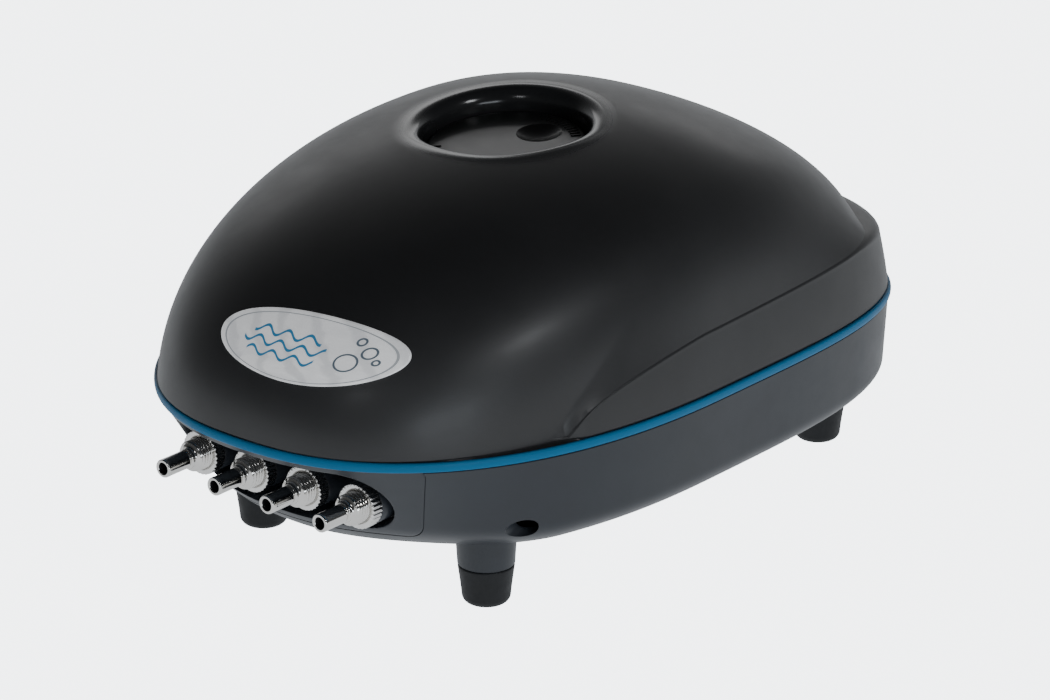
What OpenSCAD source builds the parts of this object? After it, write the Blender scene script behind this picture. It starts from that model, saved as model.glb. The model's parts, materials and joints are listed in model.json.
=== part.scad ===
// Four-outlet linear diaphragm air pump with an egg-shaped cover.
// Frame: origin on the floor midway between the four feet, +Z up,
// outlets towards -Y, left (-X) and right (+X) mostly mirror about X = 0.

/* [Housing] */
// Overall width of the housing at the blue trim band
body_w = 145.8; // [144:0.2:150]
// Distance from the origin forward to the front of the housing
front_reach = 121; // [120.5:0.1:122]
// Distance from the origin back to the rear of the housing
rear_reach = 89.5; // [88.9:0.1:91]
// Height of the middle of the trim band above the floor
trim_z = 49.3; // [49:0.1:49.8]
// Height of the dome above the trim band
dome_rise = 61.3; // [60.5:0.1:62]
// Width of the dome where it enters the trim band
dome_w = 138.4; // [137.6:0.2:139]
// Height of the underside of the lower housing above the floor
base_z = 20.8; // [20.4:0.1:21]
// Wall thickness of the two housing shells
wall = 2.8; // [2.4:0.1:3]
// Height of the side skirt above the trim band
skirt_h = 17.9; // [17.2:0.1:18.4]
// Height of the rear cowl above the trim band
cowl_h = 19.7; // [19:0.1:20.4]

/* [Trim band] */
// Height of the trim band
trim_h = 2; // [1.6:0.1:2.4]
// How far the trim band stands proud of the housing
trim_proud = 0.6; // [0.4:0.1:0.8]

/* [Outlets] */
// Distance between neighbouring outlets
outlet_pitch = 18; // [17.5:0.1:18.5]
// Height of the outlets above the floor
outlet_z = 34.9; // [34.5:0.1:35.3]
// Outside diameter of the hose tail that the airline pushes onto
tail_d = 4.9; // [4.7:0.1:5.1]
// Bore of each outlet
outlet_bore_d = 3.2; // [2.6:0.1:3.4]
// Distance from the origin forward to the seats of the outlet lock nuts
seat_y = 103.9; // [103.5:0.1:104.2]
// Distance from the origin forward to the floor of the outlet recess
recess_y = 95; // [94.6:0.1:95.4]

/* [Feet] */
// Sideways distance of each foot from the centre line
foot_x = 39; // [38:0.5:40]
// Fore and aft distance of each foot from the origin
foot_y = 71.2; // [70:0.2:72]
// Height of the rubber boot on each foot
boot_h = 10.8; // [10:0.2:12]

/* [Control dial] */
// Diameter of the flow control dial
dial_d = 42; // [41:0.2:42.6]
// Tilt of the dial towards the front, in degrees
dial_tilt = 5; // [4:0.5:6]

/* [Drive] */
// Running clearance on radius in the arm pivots and the dial spindle
run_clear = 0.05; // [0.02:0.01:0.09]
// Height of the axis of the two air chambers
drive_z = 52; // [51.8:0.1:52.2]

/* [Hidden] */
$fn = 48;

half_w = body_w / 2;
dome_half = dome_w / 2;
z_lo = trim_z - trim_h / 2;
z_hi = trim_z + trim_h / 2;
floor_top = base_z + 3; // inside floor of the lower housing
land_w = 4.2; // width of the flat joint faces at the trim band
oval_y = -15.9; // centre of the plan ovals

shell_col = [0.045, 0.045, 0.048];
base_col = [0.2, 0.22, 0.25];
trim_col = [0, 0.47, 0.68];
badge_col = [0.85, 0.86, 0.87];
foot_col = [0.09, 0.095, 0.1];
nickel_col = [0.78, 0.77, 0.74];
steel_col = [0.6, 0.61, 0.63];
rubber_col = [0.12, 0.12, 0.125];
nylon_col = [0.82, 0.81, 0.76];
pot_col = [0.25, 0.27, 0.3];
board_col = [0.12, 0.3, 0.18];
capacitor_col = [0.6, 0.16, 0.12];
heatsink_col = [0.7, 0.71, 0.73];
core_col = [0.42, 0.43, 0.45];
bobbin_col = [0.9, 0.88, 0.8];
winding_col = [0.72, 0.36, 0.16];
spacer_col = [0.75, 0.62, 0.3];
arm_col = [0.55, 0.57, 0.6];
magnet_col = [0.3, 0.3, 0.32];
clamp_col = [0.74, 0.72, 0.66];
valve_plate_col = [0.7, 0.68, 0.6];
flap_col = [0.2, 0.2, 0.21];
hose_col = [0.75, 0.78, 0.78];
felt_col = [0.75, 0.74, 0.7];
cord_col = [0.07, 0.07, 0.075];
relief_col = [0.08, 0.08, 0.085];

// ---- Shared helpers ----

function clamp01(v) = min(1, max(0, v));
function smooth(low, high, v) = let (t = clamp01((v - low) / (high - low))) t * t * (3 - 2 * t);
function signed_pow(v, power) = sign(v) * pow(abs(v), power);
function blend(from, to, share) = from + (to - from) * share;

// upright cylinder whose lower end is at height z
module rod(r, z, h, facets = $fn) translate([0, 0, z]) cylinder(r = r, h = h, $fn = facets);
// copies at -x and +x
module pair(x) for (side = [-1, 1]) translate([x * side, 0, 0]) children();
// side is 1 for the right half, -1 for its mirror image on the left
module on_side(side) mirror([side < 0 ? 1 : 0, 0, 0]) children();
module on_both_sides() for (side = [-1, 1]) on_side(side) children();
// extrusion of an XZ outline from y0 back to y1
module extrude_y(y0, y1)
  translate([0, y1, 0]) rotate([90, 0, 0]) linear_extrude(y1 - y0) children();

// feet: side -1 left, 1 right; end -1 front, 1 rear
module at_foot(side, end) translate([side * foot_x, end * foot_y, 0]) children();
module at_feet() for (end = [-1, 1]) for (side = [-1, 1]) at_foot(side, end) children();

// outlet frame: +Z forward along the outlet axis; outlets run 1 to 4 from left to right
module at_outlet(number)
  translate([(number - 2.5) * outlet_pitch, 0, outlet_z]) rotate([90, 0, 0]) children();
module at_outlets() for (i = [1:4]) at_outlet(i) children();

// ---- Lofted skins ----

// station angles round the housing; 0 is the front, 90 the right side
n_st = 64;
stations = [for (i = [0:n_st - 1]) 360 * i / n_st];

// faces between two rings of n points, given the index of each ring's first point
function ring_faces(from, to, n = n_st) = [for (j = [0:n - 1]) let (k = (j + 1) % n)
  each [[from + j, to + j, to + k], [from + j, to + k, from + k]]];
function fan(apex, ring, n = n_st) = [for (j = [0:n - 1]) [apex, ring + j, ring + (j + 1) % n]];
function flipped(faces) = [for (f = faces) [f[2], f[1], f[0]]];

// closed skin through a list of rings with a point at each end
module skin(rings, first, last, flip = false) {
  m = len(rings);
  pts = concat([first], [for (r = rings) each r], [last]);
  faces = concat(
    fan(0, 1),
    [for (i = [0:m - 2]) each ring_faces(1 + i * n_st, 1 + (i + 1) * n_st)],
    flipped(fan(1 + m * n_st, 1 + (m - 1) * n_st)));
  polyhedron(pts, flip ? flipped(faces) : faces, convexity = 10);
}

// closed skin round a band, the last ring joining the first
module band(rings) {
  m = len(rings);
  polyhedron([for (r = rings) each r],
    [for (i = [0:m - 1]) each ring_faces(i * n_st, ((i + 1) % m) * n_st)], convexity = 10);
}

// ---- Cover surface ----
// a: station angle, inset: inward offset

// plan oval of the trim band and the lower housing
function oval(a, inset, z) = let (
    front = cos(a) > 0,
    power = front ? 2.3 : 3.9,
    reach = front ? -(front_reach + oval_y - inset) : rear_reach - oval_y - inset)
  [(half_w - inset) * signed_pow(sin(a), 2 / power),
   oval_y + reach * pow(abs(cos(a)), 2 / power), z];
function oval_ring(inset, z) = [for (a = stations) oval(a, inset, z)];
function plan_y(a) = oval(a, 0, 0)[1];

// egg-shaped dome: t runs from 0 at the trim band to 1 at the crown
function taper(t, power, root) = pow(max(0, 1 - pow(t, power)), root);
function dome_mid(t) = -14.4 + 16.5 * t * t;
function dome_side(t, inset) = (dome_half - inset) * taper(t, 4.06, 1 / 1.83);
function dome_fore(t, inset) = -(front_reach - inset + dome_mid(t)) * taper(t, 2.16, 1 / 1.7);
function dome_aft(t, inset) =
  (rear_reach - 0.7 - inset - dome_mid(t)) * taper(t, 2.19, 1 / 1.7);
function fore_power(t) = 2.46 - 0.46 * t;
function dome(a, t, inset) = let (
    front = cos(a) > 0,
    power = front ? fore_power(t) : 3.63 - 1.63 * t,
    reach = front ? dome_fore(t, inset) : dome_aft(t, inset))
  [dome_side(t, inset) * signed_pow(sin(a), 2 / power),
   dome_mid(t) + reach * pow(abs(cos(a)), 2 / power),
   trim_z + (dome_rise - inset) * t];
function dome_ring(t, inset) = [for (a = stations) dome(a, t, inset)];
crown_y = dome_mid(1);

// The skirt has full height behind skirt_full_y and dies out at skirt_end_y.
skirt_full_y = -20;
skirt_end_y = -69;
skirt_rise = 1.9; // gain in skirt height from front to rear
skirt_min = 3;

// radius of the skirt's rolled top edge
function lip_r(a) = 1 + 3.2 * smooth(48, 78, plan_y(a));
// height above trim_z at which the roll begins
function skirt_top(a) = let (
    y = plan_y(a), s = clamp01((skirt_full_y - y) / (skirt_full_y - skirt_end_y)))
  y < skirt_end_y ? skirt_min : max(skirt_min,
    (skirt_h - skirt_rise) * taper(s, 1.5, 0.44) + skirt_rise * smooth(-50, 50, y)
    + 1 - lip_r(a) + (cowl_h - skirt_h - 1) * smooth(44, 72, y));
// inward lean of the skirt at height z above trim_z
function lean(z) = 0.1 + 3.1 * pow(max(0, z) / 20, 1.3);
// 0 at the front, where the plain dome shows, to 1 where the skirt takes over
function skirt_share(a) = smooth(-75, -63, plan_y(a));

// outer surface in the skirt zone, h from 0 to 1
function skirt_ring(h) = [for (a = stations)
  let (z = trim_h / 2 + (skirt_top(a) - trim_h / 2) * h)
  blend(dome(a, z / dome_rise, 0), oval(a, lean(z), trim_z + z), skirt_share(a))];

// dome surface drawn out to meet the skirt's crest, fading over up to 18 mm of height
function crest_pull(a) = let (top = skirt_top(a), y = plan_y(a))
  (oval(a, lean(top), trim_z + top) - dome(a, top / dome_rise, 0))
  * smooth(-72, -66, y) * (1 - smooth(64, 80, y));
function drawn_dome(a, t) = let (
    fade_h = 4 + 14 * smooth(skirt_end_y, -50, plan_y(a)),
    rise = max(0, t * dome_rise - skirt_top(a)))
  dome(a, t, 0) + crest_pull(a) * pow(clamp01(1 - rise / fade_h), 2.2);

// rings that turn the skirt's top edge over onto the dome, u from 0 to 1
function lip_ring(u) = [for (a = stations) let (
    top = skirt_top(a), r = lip_r(a), z = top + r * sin(90 * u),
    on_dome = drawn_dome(a, z / dome_rise),
    on_roll = oval(a, lean(top) + r * (1 - cos(90 * u)), trim_z + z))
  blend(on_dome, blend(on_roll, on_dome, u * u), skirt_share(a))];

// dome rings above the lip
function crown_ring(u) = [for (a = stations)
  let (t0 = (skirt_top(a) + lip_r(a)) / dome_rise)
  drawn_dome(a, t0 + (1 - t0) * u)];

function inner_ring(t) = [for (q = dome_ring(t, wall)) [q[0], q[1], max(q[2], z_hi)]];

module cover_shell() {
  skin(concat(
      [for (i = [9:-1:0]) inner_ring(sin(9 * i))],
      [oval_ring(land_w, z_hi)],
      [for (i = [0:5]) skirt_ring(i / 5)],
      [for (i = [1:3]) lip_ring(i / 3)],
      [for (i = [1:16]) crown_ring(sin(84 * i / 16))]),
    [0, crown_y, trim_z + dome_rise - wall], [0, crown_y, trim_z + dome_rise]);
}

// a coarse solid ending inside the wall of the cover, used to trim its posts
module mid_dome() {
  skin(concat([dome_ring(0.001, wall / 2)],
      [for (i = [1:9]) dome_ring(sin(9.9 * i), wall / 2)]),
    [0, oval_y, trim_z], [0, crown_y, trim_z + dome_rise - wall / 2]);
}

// ---- Dial frame: origin at the middle of the dial face, +Z along the dial axis ----

dial_c = [0, -16.9, 101.5];
well_r = dial_d / 2 + 0.75;
well_z = -9; // floor of the dial well
well_lip_r = 4.8;
spindle_r = 3;
bush_r = 3.5; // threaded bush of the potentiometer
board_z = -20;
board_t = 1.6;
board_top = board_z + board_t;
board_screw_x = 27;
module at_dial() translate(dial_c) rotate([dial_tilt, 0, 0]) children();
module at_board_screws() at_dial() pair(board_screw_x) children();

// dial well with a rolled lip
module dial_well() {
  rotate_extrude($fn = 96) polygon(concat(
    [[0, well_z], [well_r - 1, well_z], [well_r, well_z + 1]],
    [for (a = [0:15:90]) [well_r + well_lip_r * (1 - cos(a)), 1.4 + well_lip_r * sin(a)]],
    [[well_r + 12, 7.6], [well_r + 12, 14], [0, 14]]));
}

module upper_housing() {
  color(shell_col)
  difference() {
    union() {
      cover_shell();
      intersection() {
        mid_dome();
        union() {
          at_feet() rod(4.5, z_hi, 60, 32);
          at_board_screws() rod(3.5, board_top, 25, 32);
        }
      }
      intersection() {
        mid_dome();
        at_dial() rod(well_r + 2.2, well_z - 2.4, 26, 64);
      }
    }
    at_dial() dial_well();
    at_dial() rod(bush_r + 0.1, well_z - 4, 6, 32);
    at_feet() rod(1.5, z_hi - 1, 15, 24);
    at_board_screws() rod(1.1, board_z + 1, 8, 24);
  }
}

module trim_band() {
  // inset from the plan oval, share of the band's height
  profile = [
    [land_w, 0], [0, 0], [-trim_proud * 0.7, 0.12], [-trim_proud, 0.35],
    [-trim_proud, 0.65], [-trim_proud * 0.7, 0.88], [0, 1], [land_w, 1]
  ];
  color(trim_col) band([for (q = profile) oval_ring(q[0], z_lo + trim_h * q[1])]);
}

// ---- Lower housing ----

// how far the lower wall is pulled in at a given drop below the trim band
function tuck(a, drop) = let (
    side = 0.045 * drop + 9 * pow(clamp01((drop - 19) / 8.5), 2.2),
    front = 0.634 * drop + 3.2 * pow(clamp01((drop - 20.5) / 7), 2))
  blend(side, front, smooth(0.45, 1, cos(a)));
function low_ring(z, inset) = [for (a = stations) oval(a, tuck(a, z_lo - z) + inset, z)];

// outer rings from the trim band down to the narrower underside
low_rings = concat(
  [for (i = [0:11]) low_ring(z_lo - (z_lo - base_z - 0.7) * sin(90 * i / 11), 0)],
  [low_ring(base_z, 2.2)]);

// outer form of the lower housing as a full solid
module low_solid() skin(low_rings, [0, oval_y, z_lo], [0, oval_y, base_z], flip = true);

module low_shell() {
  z0 = base_z + 4.5; // top of the slope between floor and wall
  skin(concat(
      [low_ring(floor_top, wall + 2)],
      [for (i = [0:5]) low_ring(z0 + (z_lo - z0) * i / 5, i == 5 ? land_w : wall)],
      low_rings),
    [0, oval_y, floor_top], [0, oval_y, base_z], flip = true);
}

// front panel outline in XZ, grown by gap
panel_corner_r = 7;
module panel_outline(gap) {
  hull() {
    translate([0, z_lo - 1]) square([2 * (45.6 + gap), 2.2], center = true);
    pair(33.1) translate([0, 24.8 + panel_corner_r]) circle(r = panel_corner_r + gap, $fn = 32);
  }
}

stadium_x = 26.6;
stadium_r = 9.4;
module recess_outline() translate([0, 36.6]) union() {
  square([2 * stadium_x, 2 * stadium_r], center = true);
  pair(stadium_x) circle(r = stadium_r, $fn = 48);
}

clear_y = -130; // ahead of everything
manifold_y = -recess_y + 2.4; // front of the manifold, behind the recess floor
stub_r = 5; // stub inside each rubber boot

// cord frame: +Z rearward along the power cord
module at_cord() translate([0, 0, 36]) rotate([-90, 0, 0]) children();

module lower_housing() {
  color(base_col)
  difference() {
    union() {
      low_shell();
      // foot bosses, stubs and screw towers
      at_feet() {
        translate([0, 0, boot_h + 0.05])
          cylinder(r1 = 7.5, r2 = 8.3, h = base_z - boot_h + 1, $fn = 48);
        rod(stub_r, 3.5, 12);
        rod(5, base_z + 1, z_hi - base_z - 1.05);
      }
      // air filter well
      translate([-25, 52, base_z + 0.5]) cube([50, 22, 12.5]);
      // cord gland boss
      at_cord() rod(8, 78, 10);
    }
    extrude_y(clear_y, -80) panel_outline(0.12);
    // screw passages with head seats
    at_feet() {
      rod(3.2, -1, 13, 32);
      rod(1.7, 5, 60, 32);
    }
    // filter pocket and the slots in its roof
    translate([-23, 54, base_z - 5]) cube([46, 18, 16]);
    for (i = [-3:3]) translate([i * 6 - 1.5, 56, base_z + 10]) cube([3, 14, 8]);
    at_cord() rod(4.6, 77, 30);
    // air intake port in the corner beside the front right foot
    translate([58.3, -80, 28.3]) rotate([105, 0, 0]) rod(2.8, -11, 40);
  }
}

module outlet_faceplate() {
  color(base_col)
  difference() {
    union() {
      difference() {
        intersection() {
          low_solid();
          extrude_y(clear_y, -86.5) panel_outline(0);
        }
        extrude_y(clear_y, -recess_y) recess_outline();
      }
      // raised seats for the lock nuts
      at_outlets() rod(6, recess_y - 0.5, seat_y - recess_y + 0.5);
    }
    // pocket for the manifold
    translate([-34, manifold_y, 27.4]) cube([68, 10, 26]);
    at_outlets() rod(4.3, 86, 30);
  }
}

// foil badge following the front of the dome
module badge_plate() {
  mid_x = 11.7;
  mid_z = 74.5;
  half_long = 26.25;
  half_tall = 7.16;
  back_depth = 0.03; // depths sunk below the dome surface
  face_depth = -0.65; // negative: stands proud
  rim_depth = -0.5;
  n_rings = 7;
  n_round = 56;

  function dome_y(x, z, depth) = let (t = (z - trim_z) / dome_rise, power = fore_power(t))
    dome_mid(t) + dome_fore(t, 0) * pow(1 - pow(abs(x / dome_side(t, 0)), power), 1 / power)
      + depth;
  function point(i, j, depth) = let (
      share = i / n_rings, a = 360 * j / n_round,
      x = mid_x + half_long * share * cos(a), z = mid_z + half_tall * share * sin(a))
    [x, dome_y(x, z, depth), z];
  function sheet(depth, edge_depth) = concat([point(0, 0, depth)],
    [for (i = [1:n_rings]) for (j = [0:n_round - 1])
      point(i, j, i == n_rings ? edge_depth : depth)]);
  function sheet_faces(start) = concat(fan(start, start + 1, n_round),
    [for (i = [0:n_rings - 2])
      each ring_faces(start + 1 + i * n_round, start + 1 + (i + 1) * n_round, n_round)]);

  face_start = 1 + n_rings * n_round;
  rim = 1 + (n_rings - 1) * n_round;
  color(badge_col) polyhedron(
    concat(sheet(-back_depth, -back_depth), sheet(face_depth, rim_depth)),
    concat(sheet_faces(0), flipped(sheet_faces(face_start)),
      ring_faces(rim, face_start + rim, n_round)),
    convexity = 4);
}

// ---- Outlets ----

// lathe-turned outlet fitting, tip at the front, threaded barrel to the rear
module outlet_nipple(number) {
  bore_r = outlet_bore_d / 2;
  tail_r = tail_d / 2;
  crest_r = 4.2;
  root_r = 3.85;
  face = seat_y + 3.4; // front of the lock nut
  tip = front_reach;
  color(nickel_col)
  at_outlet(number)
  rotate_extrude() polygon(concat(
    [[bore_r, 88], [3.5, 88], [root_r, 88.6]],
    [for (i = [0:2]) each [[crest_r, 89.2 + i], [root_r, 89.7 + i]]],
    [[crest_r, 92.3], [crest_r, face + 0.3]],
    [for (i = [0:2]) each [[root_r, face + 0.75 + i * 0.9], [crest_r, face + 1.2 + i * 0.9]]],
    [[3.95, face + 3.6], [3.3, face + 3.95], [2.75, face + 4.6], [2.75, face + 5],
     [2.2, face + 5.2], [2.2, face + 5.8], [tail_r, face + 6], [tail_r, tip - 0.25],
     [tail_r - 0.25, tip], [bore_r + 0.2, tip], [bore_r, tip - 0.3]]));
}

module outlet_lock_nuts() {
  color(nickel_col)
  at_outlets() translate([0, 0, seat_y]) difference() {
    rotate_extrude($fn = 64) polygon([
      [4.25, 0], [5.9, 0], [6, 0.35], [6, 3], [5.85, 3.4], [4.5, 3.4], [4.25, 3.1]]);
    // grip flutes
    for (a = [0:12:348]) rotate([0, 0, a]) translate([6.14, 0, 0]) rod(0.32, -1, 6, 16);
  }
}

module outlet_o_rings() {
  color(rubber_col)
  at_outlets() translate([0, 0, -manifold_y - 1])
    rotate_extrude() translate([5.2, 0]) circle(r = 0.94, $fn = 24);
}

// upright hose stubs on the manifold
hose_stub_x = 26;
hose_stub_y = -86;
module at_hose_stubs() pair(hose_stub_x) translate([0, hose_stub_y, 0]) children();

module air_manifold() {
  color(nylon_col)
  difference() {
    union() {
      translate([-33, manifold_y, 28]) cube([66, 9.6, 14]);
      at_hose_stubs() rod(2, 41, 8.5, 32);
    }
    // air gallery
    translate([-31, -87.4, 31]) cube([62, 2.6, 8]);
    // barrel bores and O-ring counterbores
    at_outlets() {
      rod(4.25, 87, 9);
      rod(6.25, -manifold_y - 2, 9);
    }
    at_hose_stubs() rod(1.2, 35, 16, 24);
  }
}

// ---- Feet ----

module foot_boot(side, end) {
  toe_r = 2.3; // rounding round the bottom edge
  color(foot_col)
  at_foot(side, end) difference() {
    rotate_extrude($fn = 64) polygon(concat([[0, 0]],
      [for (a = [0:15:90]) [4.1 + toe_r * sin(a), toe_r * (1 - cos(a))]],
      [[7.45, boot_h - 0.6], [7.2, boot_h], [0, boot_h]]));
    rod(stub_r + 0.03, 3.4, 20);
  }
}

module housing_screws() {
  color(steel_col)
  at_feet() difference() {
    union() {
      rod(2.9, 9.4, 2.6, 32);
      rod(1.45, 12, 50, 24);
    }
    // cross slot
    for (a = [0, 90]) rotate([0, 0, a]) translate([-1.8, -0.35, 9]) cube([3.6, 0.7, 1.6]);
  }
}

// ---- Dial and control board ----

// radial ridge on the dial face, its inner end cut back by trim
dimple_a = 71;
module dial_ridge(angle, trim = 0)
  rotate([0, 0, dimple_a + angle]) translate([17 + trim, -0.3, -0.2]) cube([2.9 - trim, 0.6, 0.6]);

// flow control dial with a finger dimple and two fans of ridges on its face
module control_dial() {
  dial_r = dial_d / 2;
  dimple_at = 10.2; // distance out from the axis, and height of the sphere's centre
  color(shell_col)
  at_dial() difference() {
    union() {
      rotate_extrude($fn = 96) polygon([
        [0, -4], [dial_r - 0.6, -4], [dial_r, -3.4], [dial_r, -0.5], [dial_r - 0.5, 0], [0, 0]]);
      rod(6.2, -6.3, 3);
      for (i = [0:10]) dial_ridge(-25 + i * 5);
      for (i = [0:6]) dial_ridge(150 + i * 10, i * 0.25);
    }
    translate([dimple_at * cos(dimple_a), dimple_at * sin(dimple_a), dimple_at])
      sphere(r = 11.9, $fn = 72);
    rod(spindle_r + 0.01, -7, 5.55);
  }
}

module dial_spindle() {
  color(steel_col) at_dial() rod(spindle_r, -17, 15.5);
}

module potentiometer() {
  color(pot_col)
  at_dial() difference() {
    union() {
      rod(8.5, board_top, 7);
      rod(bush_r, -12, 5.5);
    }
    rod(spindle_r + run_clear, -17.2, 20);
  }
}

module potentiometer_nut() {
  color(steel_col) at_dial() difference() {
    rod(5.6, well_z, 2, 6);
    rod(bush_r, well_z - 1, 5);
  }
}

module control_board() {
  color(board_col)
  difference() {
    at_dial() translate([-31, -18, board_z]) cube([62, 36, board_t]);
    at_board_screws() rod(1.35, board_z - 1, 4, 24);
  }
}

module board_screws() {
  color(steel_col)
  at_board_screws() {
    rod(2.4, board_z - 1.6, 1.6, 32);
    rod(1.05, board_z - 0.2, 8, 24);
  }
}

module board_capacitor() {
  h = 6.6;
  color(capacitor_col) at_dial() translate([-16, 7, board_z - h]) cube([13, 6, h]);
}

// block with three slots from below
module triac_heatsink() {
  h = 11;
  color(heatsink_col) at_dial() translate([6, -14, board_z - h]) difference() {
    cube([16, 10, h]);
    for (i = [0:2]) translate([2.2 + i * 4.2, -1, -1]) cube([2.6, 12, 8.5]);
  }
}

// ---- Chassis ----

chassis_z = 30;
chassis_t = 2;
chassis_top = chassis_z + chassis_t;
core_hole_r = 2.1;
module at_isolators() pair(46) for (y = [-56, 40]) translate([0, y, 0]) children();
module at_core_bolts() pair(22) translate([0, 40, 0]) children();

module chassis_plate() {
  color(steel_col)
  difference() {
    translate([-56, -62, chassis_z]) cube([112, 112, chassis_t]);
    at_isolators() rod(3, chassis_z - 1, 4, 32);
    at_core_bolts() rod(core_hole_r, chassis_z - 1, 4, 32);
    translate([-14, -50, chassis_z - 1]) cube([28, 34, 4]);
  }
}

// rubber legs standing on the housing floor, grooved to hold the plate
module chassis_isolators() {
  foot_z = floor_top - chassis_z;
  color(rubber_col)
  at_isolators() translate([0, 0, chassis_z]) rotate_extrude($fn = 32) polygon([
    [0, foot_z], [5.5, foot_z], [5, -3], [5.2, 0], [3, 0], [3, 2], [4, 2], [3.2, 3.7], [0, 3.7]]);
}

// ---- Magnetic core and coil ----

core_y = 6; // front of the core
core_half_h = 11;
core_top = drive_z + core_half_h;

// E-shaped stack, its three legs open towards the front
module core_laminations() {
  color(core_col)
  difference() {
    translate([-27, core_y, drive_z - core_half_h]) cube([54, 40, 2 * core_half_h]);
    pair(13.5) translate([-5.5, core_y - 1, drive_z - 12]) cube([11, 29, 24]);
    at_core_bolts() rod(core_hole_r, drive_z - 12, 24, 32);
  }
}

module coil_bobbin() {
  color(bobbin_col)
  difference() {
    union() {
      translate([-9.3, 9, drive_z - 12.3]) cube([18.6, 24, 24.6]);
      for (y = [9, 31.5]) translate([-18, y, drive_z - 17.5]) cube([36, 1.5, 35]);
    }
    translate([-8.05, 8, drive_z - 11.05]) cube([16.1, 26, 22.1]);
  }
}

// rectangle with corners of radius r, given its half sizes
module rounded_box(half_x, half_y, r) union() {
  square([2 * half_x, 2 * (half_y - r)], center = true);
  square([2 * (half_x - r), 2 * half_y], center = true);
  pair(half_x - r) for (end = [-1, 1]) translate([0, end * (half_y - r)]) circle(r = r, $fn = 32);
}

module coil_winding() {
  color(winding_col)
  difference() {
    translate([0, 10.6, drive_z]) rotate([-90, 0, 0])
      linear_extrude(20.8) rounded_box(17.2, 16.6, 3);
    translate([-9.35, 9, drive_z - 12.35]) cube([18.7, 24, 24.7]);
  }
}

module core_bolts() {
  head_h = 3.2;
  color(steel_col)
  at_core_bolts() {
    rod(4, chassis_z - head_h, head_h, 6);
    rod(2, chassis_z - 1, 37.5, 32);
    rod(4, core_top, head_h, 6);
  }
}

module core_spacers() {
  color(spacer_col)
  at_core_bolts() difference() {
    rod(4.5, chassis_top, drive_z - core_half_h - chassis_top, 32);
    rod(core_hole_r, chassis_top - 1, 14, 32);
  }
}

// ---- Swing arms ----

pivot_x = 25;
pivot_y = -54;
pin_r = 2;
module at_pivot() translate([pivot_x, pivot_y, 0]) children();

// chamber frame: +Z outward (+X) along the chamber axis, +X down, +Y to the rear
chamber_y = -28;
module chamber_frame() translate([0, chamber_y, drive_z]) rotate([0, 90, 0]) children();
module at_chamber(side) on_side(side) chamber_frame() children();

module swing_arm(side) {
  color(arm_col) on_side(side)
  difference() {
    union() {
      at_pivot() rod(4.5, drive_z - 8, 16);
      translate([pivot_x - 1, pivot_y, drive_z - 6]) cube([2, 46, 12]);
      translate([8, -10, drive_z - 6]) cube([18, 2, 12]);
    }
    at_pivot() rod(pin_r + run_clear, drive_z - 9, 18);
    // hole for the diaphragm stud
    chamber_frame() rod(1.6, 20, 8, 24);
  }
}

module arm_magnet(side) {
  color(magnet_col) on_side(side) translate([8, -8, drive_z - 7]) cube([10, 11, 14]);
}

module arm_pivot_pins() {
  color(steel_col) on_both_sides() at_pivot() rod(pin_r, chassis_top + 2, 32.5);
}

module arm_pivot_blocks() {
  color(nylon_col)
  on_both_sides() difference() {
    translate([pivot_x - 6, pivot_y - 7, chassis_top]) cube([12, 13, 34]);
    translate([pivot_x - 7, pivot_y - 5.2, drive_z - 8.5]) cube([14, 13, 17]);
    at_pivot() rod(pin_r + 0.02, chassis_top + 2, 40);
  }
}

// ---- Air chambers ----

// distances out from the centre line at which the stacked parts begin
body_out = 35;
plate_out = 45;
gasket_out = 48;
cover_out = 49;
head_out = 58.5;
valve_y = 8; // inlet valve behind the chamber axis, outlet valve in front of it
flap_t = 0.8;
cavity_ys = [-17.5, 1.5]; // front edges of the two cover cavities
cavity_w = 16;

// the parts share a square outline and four corner screws
module chamber_block(z, h) translate([-20, -20, z]) cube([40, 40, h]);
module at_chamber_screws()
  for (x = [-16.5, 16.5]) for (y = [-16.5, 16.5]) translate([x, y, 0]) children();

module diaphragm(side) {
  // radius, distance out: inner face first, then back along the outer face
  profile = [
    [1.6, 29.6], [9, 29.6], [10.5, 29.8], [11.6, 30.6], [12.8, 31.1], [14.2, 30.6],
    [15.4, 29.9], [18.2, 29.9], [19, 30.4], [19, 34.7], [17.5, 34.7], [17.5, 31.68],
    [14.95, 31.68], [14.4, 31.8], [12.8, 32.5], [11, 31.9], [9.6, 31.1], [1.6, 31.1]
  ];
  color(rubber_col) at_chamber(side) rotate_extrude($fn = 64) polygon(profile);
}

// two clamp discs on a stud, with a round head inside and a hex nut outside
module diaphragm_clamp(side) {
  color(clamp_col)
  at_chamber(side) union() {
    rod(6.5, 26, 3.6);
    rod(8.5, 31.1, 1.6);
    rod(1.55, 22, 12, 24);
    rod(3, 21.6, 2.4, 32);
    rod(2.9, 32.6, 2.2, 6);
  }
}

module chamber_body(side) {
  color(nylon_col)
  at_chamber(side) difference() {
    union() {
      chamber_block(body_out, plate_out - body_out);
      rod(17.45, 31.7, 5, 64);
    }
    rod(15, 30, 11, 64);
    translate([0, -valve_y, 0]) rod(3, 38, 10, 32);
    translate([0, valve_y, 0]) rod(6.9, 40, 6);
    at_chamber_screws() rod(1.45, 30, 20, 24);
  }
}

module valve_plate(side) {
  color(valve_plate_col)
  at_chamber(side) difference() {
    chamber_block(plate_out, gasket_out - plate_out);
    for (y = [-valve_y, valve_y]) translate([0, y, 0]) rod(2.5, 44, 6, 32);
    at_chamber_screws() rod(1.7, 44, 6, 24);
  }
}

// flat rubber flap over a valve port, offset y from the chamber axis
module flap(x, y) translate([x, chamber_y + y - 4, drive_z - 5]) cube([flap_t, 8, 10]);
module inlet_flap(side) color(flap_col) on_side(side) flap(plate_out - flap_t, valve_y);
module outlet_flap(side) color(flap_col) on_side(side) flap(gasket_out, -valve_y);

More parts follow.
